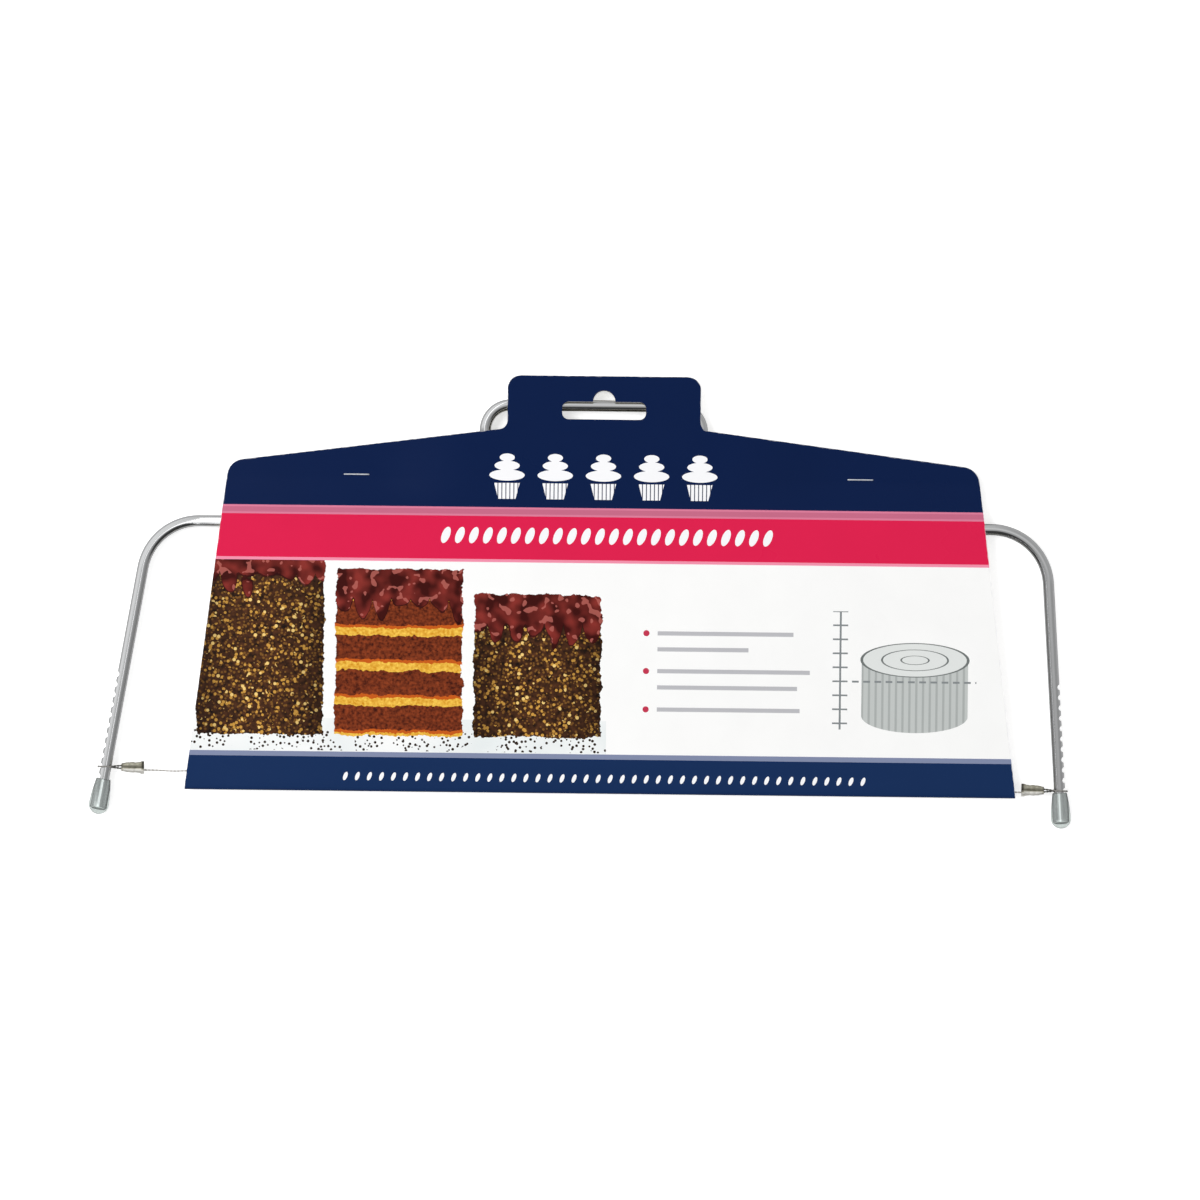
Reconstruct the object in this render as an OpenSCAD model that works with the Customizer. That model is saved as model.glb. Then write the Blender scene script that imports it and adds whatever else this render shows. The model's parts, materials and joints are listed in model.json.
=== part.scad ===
// Cake leveler: a bent steel rod frame with notched legs, a cutting wire looped
// round both legs, clear foot caps, and the stapled card sleeve it is sold in.
// It lies flat: X runs along the cutting wire, Y towards the handle, Z up.

/* [Frame rod] */
// Diameter of the bent steel rod
rod_d = 4; // [3.4:0.1:4.4]
// Distance between the two upper corners, measured where the straight lines meet
shoulder_w = 319.4; // [310:0.2:340]
// Length of each leg, from the upper corner to the end of the rod
leg_len = 104; // [98:0.5:112]
// Outward lean of the left leg in degrees
left_splay = 9.9; // [6:0.1:11]
// Outward lean of the right leg in degrees
right_splay = 3.7; // [2:0.1:6]
// Bend radius of the upper corners, at the middle of the rod
corner_r = 20.5; // [14:0.5:24]
// Sideways place of the frame's middle, from the middle of the card
frame_shift = -1.5; // [-2:0.1:0]

/* [Handle] */
// Width of the handle, between the middles of its risers
handle_w = 77.5; // [70:0.5:80]
// Height of the handle bar above the shoulders
handle_h = 42.6; // [40:0.2:44]
// Width of the neck, between the middles of the two neck bends
neck_w = 55; // [50:0.5:60]
// Height of the straight neck above the shoulders
neck_rise = 12; // [11.5:0.1:13]
// Height over which the risers flare from the neck to the full width
flare_rise = 15; // [13:0.1:16]
// Bend radius of the neck, where the shoulders turn up
neck_r = 7; // [5:0.1:7.5]
// Bend radius of the flare
flare_r = 10; // [8:0.1:10.5]
// Bend radius of the handle's upper corners
handle_r = 9; // [6:0.1:9.5]
// Sideways place of the handle, from the middle of the frame
handle_shift = -2.1; // [-3:0.1:0]

/* [Notches] */
// Number of height notches in each leg
notch_count = 11; // [8:1:12]
// Distance between neighbouring notches
notch_pitch = 3.7; // [3.2:0.1:4]
// Distance from the rod's end to the lowest notch
first_notch = 10.7; // [10.7:0.1:12]
// Depth of a notch
notch_depth = 0.8; // [0.4:0.05:0.9]
// Width of a notch
notch_w = 2; // [1.6:0.1:2.2]
// Notch that the left end of the wire sits in, counted from the lowest
left_notch = 1; // [0:1:2]
// Notch that the right end of the wire sits in, counted from the lowest
right_notch = 0; // [0:1:2]

/* [Foot caps] */
// Largest diameter of a foot cap
cap_d = 7.2; // [6.8:0.1:7.6]
// Diameter of a cap at its mouth
cap_mouth_d = 5.2; // [5:0.1:6]
// Length of a cap
cap_len = 12.8; // [12.5:0.1:14]
// How far the rod reaches into its cap
cap_grip = 10; // [9:0.1:10]
// Radial clearance of the rod in its cap
cap_fit = 0.03; // [0.01:0.01:0.08]
// Air between the rod's end and the bottom of the cap's bore
cap_end_gap = 0.3; // [0.1:0.1:0.4]

/* [Cutting wire] */
// Diameter of the cutting wire
wire_d = 0.7; // [0.5:0.05:0.8]
// Clearance between a wire loop and the leg inside it
loop_gap = 0.35; // [0.3:0.05:0.4]
// Distance from the leg's middle to the ferrule
loop_reach = 5.6; // [5.2:0.1:8]
// Length of a ferrule
ferrule_len = 8; // [6:0.1:9]
// Thickness of a ferrule, and the diameter of each of its two barrels
ferrule_t = 2.2; // [1.8:0.1:2.4]
// Distance between the middles of a ferrule's two barrels
barrel_pitch = 1.7; // [1.4:0.1:1.9]
// Width of the web between a ferrule's two barrels
web_w = 1.5; // [1.2:0.1:1.8]
// Depth of the two dents where a ferrule is crimped
crimp_depth = 0.3; // [0.15:0.05:0.4]
// How far the flared rim stands out round a ferrule
rim_out = 0.35; // [0.2:0.05:0.5]
// Length of the flared rim
rim_len = 0.9; // [0.6:0.1:1.2]

/* [Card sleeve] */
// Thickness of the card
card_t = 0.45; // [0.35:0.05:0.5]
// Width of the card along its bottom fold
card_bottom_w = 297; // [290:1:300]
// Width of the card at the wing corners
card_wing_w = 267.6; // [262:0.2:272]
// Height of the wing corners above the fold
wing_h = 117.6; // [116:0.2:119]
// Height at which the wing edges reach the tab
tab_root_h = 130.3; // [129:0.1:132]
// Width of the hanging tab
tab_w = 69; // [60:0.5:74]
// Height of the frame's shoulders above the fold
shoulder_h = 96; // [95:0.2:97]
// Corner radius of the wings
wing_r = 6.4; // [3:0.1:7]
// Corner radius of the tab
tab_r = 4.6; // [2:0.1:6]
// Radius of the inner corners beside the tab
tab_root_r = 3; // [1:0.1:4]
// Outer radius of the bottom fold
fold_r = 1.5; // [1.4:0.05:1.6]
// Clearance between the front panel and the rod under it
card_gap = 0.25; // [0.2:0.05:0.3]
// Gap between the two panels where they are stapled
pinch_gap = 0.15; // [0.1:0.05:0.2]

/* [Hang slot] */
// Length of the hang slot
slot_w = 30; // [28:0.5:33]
// Height of the slot's bar
slot_h = 6.3; // [5.5:0.1:6.5]
// How far the slot's middle lies below the middle of the handle bar
slot_drop = 1.75; // [0.5:0.05:2]
// Height of the card above the slot's bar
slot_cover = 9.2; // [8:0.1:12]
// Radius of the round bump above the bar
slot_bump_r = 4; // [3:0.1:4.5]
// Corner radius at the slot's ends
slot_end_r = 2.4; // [1:0.1:2.7]

/* [Staples] */
// Distance between the middles of the two staples
staple_spread = 180; // [174:1:190]
// Sideways place of the staples' middle, from the middle of the card
staple_shift = 1.8; // [0:0.1:2]
// Height of the staples above the fold
staple_h = 113.2; // [112.8:0.1:113.8]
// Length of a staple's crown
crown_w = 9.3; // [8.5:0.1:10]
// Width of the staple wire
staple_w = 0.5; // [0.4:0.05:0.6]
// Thickness of the staple wire
staple_t = 0.4; // [0.3:0.05:0.45]
// Outer radius of a staple's bends
staple_bend_r = 0.5; // [0.5:0.05:0.7]
// Length of each bent-over staple leg behind the card
clinch_len = 3.6; // [3:0.1:4]

/* [Hidden] */
$fn = 48;

// The rod lies level, carried by its foot caps.
rod_z = cap_d / 2;

// Unit vectors up each leg, from its foot towards its upper corner.
left_up = [sin(left_splay), cos(left_splay)];
right_up = [-sin(right_splay), cos(right_splay)];
left_corner = [frame_shift - shoulder_w / 2, shoulder_h];
right_corner = [frame_shift + shoulder_w / 2, shoulder_h];
left_foot = left_corner - leg_len * left_up;
right_foot = right_corner - leg_len * right_up;
handle_x = frame_shift + handle_shift;

// The slot lies over the handle bar, and the tab reaches above the slot.
slot_base_h = shoulder_h + handle_h - slot_drop - slot_h / 2;
tab_h = slot_base_h + slot_h + slot_cover;

// Corners of the rod's middle line and the bend radius at each.
rod_corners = [
    left_foot,
    left_corner,
    [handle_x - neck_w / 2, shoulder_h],
    [handle_x - neck_w / 2, shoulder_h + neck_rise],
    [handle_x - handle_w / 2, shoulder_h + neck_rise + flare_rise],
    [handle_x - handle_w / 2, shoulder_h + handle_h],
    [handle_x + handle_w / 2, shoulder_h + handle_h],
    [handle_x + handle_w / 2, shoulder_h + neck_rise + flare_rise],
    [handle_x + neck_w / 2, shoulder_h + neck_rise],
    [handle_x + neck_w / 2, shoulder_h],
    right_corner,
    right_foot
];
rod_radii = [0, corner_r, neck_r, flare_r, flare_r, handle_r,
             handle_r, flare_r, flare_r, neck_r, corner_r, 0];
rod_chamfer = 0.4;
// The rod draws down by a hair where it is bent.
bend_thinning = 0.04;
// Each straight stretch runs this far into the bends at its ends.
bend_lap = 0.05;

// Places of the wire's two ends on the legs.
left_seat = left_foot + (first_notch + left_notch * notch_pitch) * left_up;
right_seat = right_foot + (first_notch + right_notch * notch_pitch) * right_up;
wire_slope = atan2(right_seat.y - left_seat.y, right_seat.x - left_seat.x);
wire_along = [cos(wire_slope), sin(wire_slope)];
loop_r = (rod_d + wire_d) / 2 + loop_gap;
loop_thinning = 0.02;
strand_lap = 0.12;

// The caps' round noses and the card's tab set how far the object reaches.
nose_back = cap_len - cap_d / 2 - cap_grip;
left_nose = left_foot - nose_back * left_up;
right_nose = right_foot - nose_back * right_up;
middle_x = (left_nose.x + right_nose.x) / 2;
middle_y = (min(left_nose.y, right_nose.y) - cap_d / 2 + tab_h) / 2;

// The sleeve's inner faces: at the fold, over the rods and where it is stapled.
fold_sag = 0.2;
fold_z = rod_z - fold_sag;
fold_inner_r = fold_r - card_t;
front_open_z = rod_z + rod_d / 2 + card_gap;
back_open_z = card_t;
back_lands_h = 40;
handle_margin = 3;
crown_margin = 2;
row_margin = 0.5;
open_half = abs(handle_shift + frame_shift) + handle_w / 2 + rod_d / 2 + handle_margin;
pinch_half = staple_spread / 2 - abs(staple_shift) - crown_w / 2 - crown_margin;
pinch_start = shoulder_h + rod_d / 2 + row_margin;
pinch_end = staple_h - staple_w / 2 - row_margin;

function smooth(t) = let(c = min(1, max(0, t))) c * c * (3 - 2 * c);
function mix(a, b, t) = a + (b - a) * t;
function unit(v) = v / norm(v);
function cross2(a, b) = a.x * b.y - a.y * b.x;

// Tangent length and centre of the round that replaces corner q between p and s.
function half_angle(p, q, s) = acos(unit(p - q) * unit(s - q)) / 2;
function tangent_len(p, q, s, r) = r / tan(half_angle(p, q, s));
function round_centre(p, q, s, r) =
    q + unit(unit(p - q) + unit(s - q)) * r / sin(half_angle(p, q, s));

// Points of a rounded corner, from the side of p to the side of s.
function corner_arc(p, q, s, r, steps) =
    let(c = round_centre(p, q, s, r),
        t = tangent_len(p, q, s, r),
        from = q + unit(p - q) * t - c,
        a0 = atan2(from.y, from.x),
        turn = (180 - 2 * half_angle(p, q, s)) * sign(cross2(q - p, s - q)))
    [for (i = [0 : steps]) c + r * [cos(a0 + turn * i / steps), sin(a0 + turn * i / steps)]];

// Polygon with every corner rounded by its own radius.
function rounded_outline(pts, radii, steps = 6) =
    let(n = len(pts))
    [for (i = [0 : n - 1]) each
        corner_arc(pts[(i + n - 1) % n], pts[i], pts[(i + 1) % n], radii[i], steps)];

// Everything is drawn from the card's fold and then set with the middle at the origin.
module in_place() {
    translate([-middle_x, -middle_y, 0]) children();
}

// Straight round bar between two points in space.
module bar(p, q, d) {
    v = q - p;
    translate(p)
        rotate([0, acos(v.z / norm(v)), atan2(v.y, v.x)])
            cylinder(d = d, h = norm(v));
}

// One round bend of the rod at corner q.
module bend(p, q, s, r) {
    c = round_centre(p, q, s, r);
    t = tangent_len(p, q, s, r);
    left_turn = cross2(q - p, s - q) > 0;
    from = (left_turn ? q + unit(p - q) * t : q + unit(s - q) * t) - c;
    translate([c.x, c.y, rod_z])
        rotate([0, 0, atan2(from.y, from.x)])
            rotate_extrude(angle = 180 - 2 * half_angle(p, q, s))
                translate([r, 0])
                    circle(d = rod_d - bend_thinning);
}

// Where the straight stretch after corner i starts and the one before it ends.
function tangent_at(i) =
    tangent_len(rod_corners[i - 1], rod_corners[i], rod_corners[i + 1], rod_radii[i]);
function leave(i) = rod_radii[i] == 0 ? rod_corners[i]
    : rod_corners[i] + unit(rod_corners[i + 1] - rod_corners[i])
        * (tangent_at(i) - bend_lap);
function arrive(i) = rod_radii[i] == 0 ? rod_corners[i]
    : rod_corners[i] + unit(rod_corners[i - 1] - rod_corners[i])
        * (tangent_at(i) - bend_lap);

// Row of height notches across the outer side of one leg.
module notches(foot, up, outward) {
    notch_r = notch_w / 2;
    sink = rod_d / 2 + notch_r - notch_depth;
    for (i = [0 : notch_count - 1]) {
        at = foot + (first_notch + i * notch_pitch) * up + sink * outward;
        translate([at.x, at.y, rod_z])
            cylinder(r = notch_r, h = rod_d + 1, center = true, $fn = 24);
    }
}

// One straight leg with its notches and the broken edge at its end.
module leg(foot, up, top, outward) {
    tip = rod_d - 2 * rod_chamfer;
    difference() {
        translate([foot.x, foot.y, rod_z])
            rotate([0, 0, atan2(up.y, up.x)])
                rotate([0, 90, 0]) {
                    cylinder(d1 = tip, d2 = rod_d, h = rod_chamfer);
                    translate([0, 0, rod_chamfer])
                        cylinder(d = rod_d, h = norm(top - foot) - rod_chamfer);
                }
        notches(foot, up, outward);
    }
}

// The whole bent rod: legs, shoulders, neck and handle.
module frame_rod() {
    last = len(rod_corners) - 1;
    color("silver") in_place() {
        leg(left_foot, left_up, arrive(1), [-left_up.y, left_up.x]);
        leg(right_foot, right_up, leave(last - 1), [right_up.y, -right_up.x]);
        for (i = [1 : last - 2]) {
            a = leave(i);
            b = arrive(i + 1);
            bar([a.x, a.y, rod_z], [b.x, b.y, rod_z], rod_d);
        }
        for (i = [1 : last - 1])
            bend(rod_corners[i - 1], rod_corners[i], rod_corners[i + 1], rod_radii[i]);
    }
}

// Clear cap pushed over the end of a leg, its mouth up the leg.
module foot_cap(foot, up) {
    mouth = foot + cap_grip * up;
    nose_r = cap_d / 2;
    bore_r = rod_d / 2 + cap_fit;
    color([0.82, 0.9, 0.88, 0.6]) in_place()
        translate([mouth.x, mouth.y, rod_z])
            rotate([0, 0, atan2(-up.y, -up.x)])
                rotate([0, 90, 0])
                    difference() {
                        union() {
                            cylinder(d1 = cap_mouth_d, d2 = cap_d, h = cap_len - nose_r);
                            translate([0, 0, cap_len - nose_r]) sphere(r = nose_r);
                        }
                        translate([0, 0, -1])
                            cylinder(r = bore_r, h = 1 + cap_grip + cap_end_gap);
                    }
}

module left_foot_cap() { foot_cap(left_foot, left_up); }
module right_foot_cap() { foot_cap(right_foot, right_up); }

// Point beside a seat: along the wire towards the middle, across it, and up.
function beside(seat, inward, along, across, up) =
    let(p = seat + along * inward + across * [-wire_along.y, wire_along.x])
    [p.x, p.y, rod_z + up];

// Loop of wire round a leg. Its two strands run straight from the loop to the two
// barrels of the ferrule, where they are cut flat.
module wire_loop(seat, inward) {
    opening = acos(loop_r / loop_reach);
    color("darkgray") in_place()
        translate([seat.x, seat.y, rod_z])
            rotate([0, 0, atan2(inward.y, inward.x)])
                rotate([90, 0, 0])
                    difference() {
                        union() {
                            rotate([0, 0, opening])
                                rotate_extrude(angle = 360 - 2 * opening)
                                    translate([loop_r, 0])
                                        circle(d = wire_d - loop_thinning);
                            for (side = [-1, 1]) {
                                leaving = loop_r * [cos(opening), side * sin(opening), 0];
                                arriving = [loop_reach, 0, side * barrel_pitch / 2];
                                run = unit(arriving - leaving);
                                bar(leaving - strand_lap * run, arriving + wire_d * run, wire_d);
                            }
                        }
                        translate([loop_reach, -wire_d, -barrel_pitch])
                            cube([2 * wire_d, 2 * wire_d, 2 * barrel_pitch]);
                    }
}

module left_wire_loop() { wire_loop(left_seat, wire_along); }
module right_wire_loop() { wire_loop(right_seat, -wire_along); }

// Outline of the two barrels side by side, joined by a narrower web.
module barrels(d) {
    half = barrel_pitch / 2;
    for (level = [-1, 1])
        translate([0, level * half]) circle(d = d);
    square([d - ferrule_t + web_w, barrel_pitch], center = true);
}

// Two dents that the crimping jaws leave, one in each broad side of a ferrule.
module crimp_dents() {
    dent_r = ferrule_len / 6;
    for (side = [-1, 1])
        translate([side * (ferrule_t / 2 + dent_r - crimp_depth), 0, ferrule_len * 0.4])
            rotate([90, 0, 0])
                cylinder(r = dent_r, h = 2 * (barrel_pitch + ferrule_t), center = true);
}

// Crimped ferrule with a flared rim where the cutting wire leaves it.
module ferrule(seat, inward) {
    start = beside(seat, inward, loop_reach, 0, 0);
    color("darkkhaki") in_place()
        translate(start)
            rotate([0, 0, atan2(inward.y, inward.x)])
                rotate([0, 90, 0])
                    difference() {
                        union() {
                            linear_extrude(ferrule_len) barrels(ferrule_t);
                            translate([0, 0, ferrule_len - rim_len])
                                linear_extrude(rim_len) barrels(ferrule_t + 2 * rim_out);
                        }
                        crimp_dents();
                    }
}

module left_ferrule() { ferrule(left_seat, wire_along); }
module right_ferrule() { ferrule(right_seat, -wire_along); }

// The straight cutting wire, from the lower barrel of one ferrule to the other.
module cutting_wire() {
    start = loop_reach + ferrule_len;
    lower = -barrel_pitch / 2;
    color("gainsboro") in_place()
        bar(beside(left_seat, wire_along, start, lower, 0),
            beside(right_seat, -wire_along, start, lower, 0),
            wire_d);
}

// Outline of the card as it is seen from the front.
module card_outline() {
    right_half = [
        [card_bottom_w / 2, 0],
        [card_wing_w / 2, wing_h],
        [tab_w / 2, tab_root_h],
        [tab_w / 2, tab_h]
    ];
    left_half = [for (i = [3 : -1 : 0]) [-right_half[i].x, right_half[i].y]];
    radii = [0.5, wing_r, tab_root_r, tab_r, tab_r, tab_root_r, wing_r, 0.5];
    polygon(rounded_outline(concat(right_half, left_half), radii));
}

// Hang slot: a bar with round ends and a round bump above its middle.
module slot_outline() {
    ends = [slot_w - 2 * slot_end_r, slot_h];
    translate([0, slot_base_h + slot_h / 2]) {
        square(ends, center = true);
        square([slot_w, slot_h - 2 * slot_end_r], center = true);
        for (x = [-1, 1], y = [-1, 1])
            translate([x * (slot_w / 2 - slot_end_r), y * (slot_h / 2 - slot_end_r)])
                circle(r = slot_end_r, $fn = 24);
    }
    translate([0, slot_base_h + slot_h]) circle(r = slot_bump_r, $fn = 32);
}

// Share by which the two panels are drawn together at a point of the card.
function drawn(x, y) = smooth((abs(x) - open_half) / (pinch_half - open_half))
    * smooth((y - pinch_start) / (pinch_end - pinch_start));

// Inner face of the front panel and of the back panel above a point of the card.
function front_face(x, y) = mix(
    mix(fold_z + fold_inner_r, front_open_z, min(1, (y - fold_r) / (shoulder_h - fold_r))),
    rod_z + pinch_gap / 2, drawn(x, y));
function back_face(x, y) = mix(
    mix(fold_z - fold_inner_r, back_open_z, min(1, (y - fold_r) / (back_lands_h - fold_r))),
    rod_z - pinch_gap / 2, drawn(x, y));

// Rows across the card and stations along it, closer where the card curves.
card_top = tab_h + 2;
pinch_rows = 6;
front_rows = concat([fold_r, back_lands_h, shoulder_h],
    [for (i = [0 : pinch_rows]) mix(pinch_start, pinch_end, i / pinch_rows)], [card_top]);
fold_steps = 6;
curve_steps = 6;
right_stations = concat([for (i = [0 : curve_steps]) mix(open_half, pinch_half, i / curve_steps)],
    [card_bottom_w / 2 + 2]);
stations = concat([for (i = [len(right_stations) - 1 : -1 : 0]) -right_stations[i]], right_stations);

// Closed section of the folded card at one station, as points in space.
function fold_arc(x, r) = [for (i = [1 : fold_steps - 1])
    let(a = 180 * i / fold_steps) [x, fold_r - r * sin(a), fold_z - r * cos(a)]];
function reversed(list) = [for (i = [len(list) - 1 : -1 : 0]) list[i]];
function section(x) = concat(
    [for (y = reversed(front_rows)) [x, y, back_face(x, y) - card_t]],
    fold_arc(x, fold_r),
    [for (y = front_rows) [x, y, front_face(x, y) + card_t]],
    [for (y = reversed(front_rows)) [x, y, front_face(x, y)]],
    reversed(fold_arc(x, fold_inner_r)),
    [for (y = front_rows) [x, y, back_face(x, y)]]);

// The folded sheet before it is cut to its outline.
module folded_sheet() {
    rings = [for (x = stations) section(x)];
    n = len(rings[0]);
    points = [for (ring = rings) each ring];
    sides = [for (k = [0 : len(rings) - 2], i = [0 : n - 1])
        let(a = k * n + i, b = k * n + (i + 1) % n) each [[a, b, b + n], [a, b + n, a + n]]];
    rim = n / 2 - 1;
    last = (len(rings) - 1) * n;
    ends = [for (i = [0 : rim - 1])
        let(j = n - 1 - i) each [[i + 1, i, j], [i + 1, j, j - 1],
            [last + i, last + i + 1, last + j - 1], [last + i, last + j - 1, last + j]]];
    polyhedron(points, concat(sides, ends), convexity = 6);
}

// Card sleeve folded under the cutting wire, with the hang slot through both panels.
module card_sleeve() {
    color("midnightblue") in_place() difference() {
        intersection() {
            folded_sheet();
            translate([0, 0, -1]) linear_extrude(cap_d + 2) card_outline();
        }
        translate([0, 0, -2]) linear_extrude(cap_d + 4) slot_outline();
    }
}

// Side view of a staple: the crown over the card and the legs bent over behind it.
module staple_profile(front_z, back_z) {
    half = crown_w / 2;
    over = front_z + staple_t;
    under = back_z - staple_t;
    bend_r = staple_bend_r;
    inner_r = staple_bend_r - staple_t;
    end_r = 0.05;
    right_half = [
        [half, over, bend_r],
        [half, under, bend_r],
        [half - clinch_len, under, end_r],
        [half - clinch_len, back_z, end_r],
        [half - staple_t, back_z, inner_r],
        [half - staple_t, front_z, inner_r]
    ];
    left_half = [for (i = [len(right_half) - 1 : -1 : 0])
        [-right_half[i].x, right_half[i].y, right_half[i].z]];
    corners = concat(right_half, left_half);
    polygon(rounded_outline([for (c = corners) [c.x, c.y]], [for (c = corners) c.z], 4));
}

// Wire staple through both panels at one side of the card.
module staple(side) {
    front_z = rod_z + pinch_gap / 2 + card_t;
    back_z = rod_z - pinch_gap / 2 - card_t;
    color("lightgray") in_place()
        translate([staple_shift + side * staple_spread / 2, staple_h, 0])
            rotate([90, 0, 0])
                linear_extrude(staple_w, center = true)
                    staple_profile(front_z, back_z);
}

module left_staple() { staple(-1); }
module right_staple() { staple(1); }

frame_rod();
left_foot_cap();
right_foot_cap();
cutting_wire();
left_wire_loop();
right_wire_loop();
left_ferrule();
right_ferrule();
card_sleeve();
left_staple();
right_staple();
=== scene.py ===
"""Looks of a cake leveler: a chromed rod frame, its cutting wire and its stapled card sleeve.

Lengths in the classes are millimetres in the card's own frame: x from the card's middle, y from
its bottom fold towards the handle, z up from the surface that the leveler lies on.
"""

import json
import logging
import math
from dataclasses import dataclass
from enum import Enum
from functools import cached_property, partialmethod, reduce
from operator import or_

import bmesh
import bpy
from mathutils import Matrix, Vector


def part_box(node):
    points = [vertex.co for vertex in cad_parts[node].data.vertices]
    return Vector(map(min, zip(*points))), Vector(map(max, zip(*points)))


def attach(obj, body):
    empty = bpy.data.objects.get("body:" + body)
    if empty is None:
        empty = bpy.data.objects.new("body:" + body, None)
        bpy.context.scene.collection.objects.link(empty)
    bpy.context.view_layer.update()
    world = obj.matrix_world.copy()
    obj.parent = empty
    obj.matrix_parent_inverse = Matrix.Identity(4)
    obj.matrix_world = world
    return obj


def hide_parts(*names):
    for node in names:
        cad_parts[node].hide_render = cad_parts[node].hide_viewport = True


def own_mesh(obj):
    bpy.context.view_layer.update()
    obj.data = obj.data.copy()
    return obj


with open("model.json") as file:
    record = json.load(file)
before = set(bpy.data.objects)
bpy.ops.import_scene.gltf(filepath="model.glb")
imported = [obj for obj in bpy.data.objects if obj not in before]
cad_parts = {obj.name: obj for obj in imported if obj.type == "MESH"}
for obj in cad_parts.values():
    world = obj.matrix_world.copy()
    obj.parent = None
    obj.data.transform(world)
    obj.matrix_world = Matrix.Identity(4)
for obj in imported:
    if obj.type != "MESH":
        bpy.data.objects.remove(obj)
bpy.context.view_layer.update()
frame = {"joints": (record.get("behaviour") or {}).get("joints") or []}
MM = 0.001
LOG = logging.getLogger("cake_leveler")

Point = tuple[float, float, float]
Flat = tuple[float, float]


class Side(Enum):
    """The left or the right half of the object, seen from the card's front."""

    LEFT = -1
    RIGHT = 1

    @property
    def word(self) -> str:
        """The side's name as it stands in the nodes' names."""
        return self.name.lower()


def linear(hex_colour: str) -> tuple[float, float, float, float]:
    """Turn an sRGB hex colour into the linear colour that a shader takes.

    Args:
        hex_colour: The colour as "#RRGGBB".

    Returns:
        Red, green, blue and an alpha of 1.
    """
    channels = [int(hex_colour[i : i + 2], 16) / 255 for i in (1, 3, 5)]
    low_end = 0.04045
    return (*(c / 12.92 if c <= low_end else ((c + 0.055) / 1.055) ** 2.4 for c in channels), 1.0)


def feed(node: bpy.types.Node, inputs: dict) -> bpy.types.Node:
    """Set a node's inputs.

    Args:
        node: The node.
        inputs: Socket name or number, and the number, colour, socket or Value that feeds it.

    Returns:
        The same node.
    """
    for key, value in inputs.items():
        source = getattr(value, "socket", value)
        if isinstance(source, bpy.types.NodeSocket):
            node.id_data.links.new(source, node.inputs[key])
        else:
            node.inputs[key].default_value = source
    return node


def add_node(
    tree: bpy.types.NodeTree, kind: str, inputs: dict | None = None, **settings: object
) -> bpy.types.Node:
    """Add one node with its settings, its values and the links into it.

    Args:
        tree: The node tree to add to.
        kind: The node's type name.
        inputs: Socket name or number, and what feeds it.
        **settings: Properties of the node.

    Returns:
        The new node.
    """
    node = tree.nodes.new(kind)
    for name, value in settings.items():
        setattr(node, name, value)
    return feed(node, inputs or {})


@dataclass(frozen=True)
class Value:
    """A socket that formulas are written with, each operator adding one Math node.

    Attributes:
        tree: The node tree.
        socket: The socket that gives the number.
    """

    tree: bpy.types.NodeTree
    socket: bpy.types.NodeSocket

    def step(self, operation: str, *others: object, clamp: bool = False) -> "Value":
        """Run one step of arithmetic.

        Args:
            operation: The Math node's operation.
            *others: Its further inputs, numbers or values.
            clamp: Whether the result is kept between 0 and 1.

        Returns:
            The result.
        """
        inputs = dict(enumerate((self, *others)))
        kind = "ShaderNodeMath"
        node = add_node(self.tree, kind, inputs, operation=operation, use_clamp=clamp)
        return Value(self.tree, node.outputs[0])

    __add__ = partialmethod(step, "ADD")
    __sub__ = partialmethod(step, "SUBTRACT")
    __rsub__ = partialmethod(step, "MULTIPLY_ADD", -1.0)
    __mul__ = partialmethod(step, "MULTIPLY")
    __truediv__ = partialmethod(step, "DIVIDE")
    __pow__ = partialmethod(step, "POWER")
    __mod__ = partialmethod(step, "MODULO")
    __abs__ = partialmethod(step, "ABSOLUTE")
    __lt__ = partialmethod(step, "LESS_THAN")
    __gt__ = partialmethod(step, "GREATER_THAN")
    # Masks are 1 inside and 0 outside: & keeps what both cover, | what either covers.
    __and__ = partialmethod(step, "MULTIPLY")
    __or__ = partialmethod(step, "MAXIMUM")

    def between(self, low: float, high: float) -> "Value":
        """Mask of where the value lies between two numbers."""
        return self.step("COMPARE", (low + high) / 2, (high - low) / 2)

    def spread(
        self, start: float, end: float, low: float, high: float, kind: str = "SMOOTHSTEP"
    ) -> "Value":
        """Go from low to high as the value goes from start to end.

        Args:
            start: Where the stretch starts.
            end: Where it ends.
            low: The result up to the start.
            high: The result from the end on.
            kind: How it goes in between.

        Returns:
            The result.
        """
        inputs = {0: self, 1: start, 2: end, 3: low, 4: high}
        node = add_node(self.tree, "ShaderNodeMapRange", inputs, interpolation_type=kind)
        return Value(self.tree, node.outputs[0])

    def pick(self, first: object, second: object) -> "Value":
        """Take the first number where the value is 0 and the second where it is 1."""
        inputs = {0: self, 2: first, 3: second}
        return Value(self.tree, add_node(self.tree, "ShaderNodeMix", inputs).outputs[0])

    def ramp(self, low: float, high: float) -> "Value":
        """Spread a noise value, which lies mostly between 0.3 and 0.7, from low to high."""
        return self.spread(0.3, 0.7, low, high, "LINEAR")


def blend(share: Value, first: object, second: object) -> bpy.types.NodeSocket:
    """Mix two colours.

    Args:
        share: 0 for all of the first and 1 for all of the second.
        first: Hex colour or colour socket.
        second: Hex colour or colour socket.

    Returns:
        The mixed colour's socket.
    """
    pair = [linear(c) if isinstance(c, str) else c for c in (first, second)]
    inputs = {0: share, 6: pair[0], 7: pair[1]}
    return add_node(share.tree, "ShaderNodeMix", inputs, data_type="RGBA").outputs[2]


def smooth(t: float) -> float:
    """Ease from 0 to 1 as t goes from 0 to 1, flat outside that stretch."""
    c = min(1.0, max(0.0, t))
    return c * c * (3 - 2 * c)


def bell(t: float, middle: float, width: float) -> float:
    """Bell curve over t, 1 at its middle."""
    return math.exp(-(((t - middle) / width) ** 2))


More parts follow.
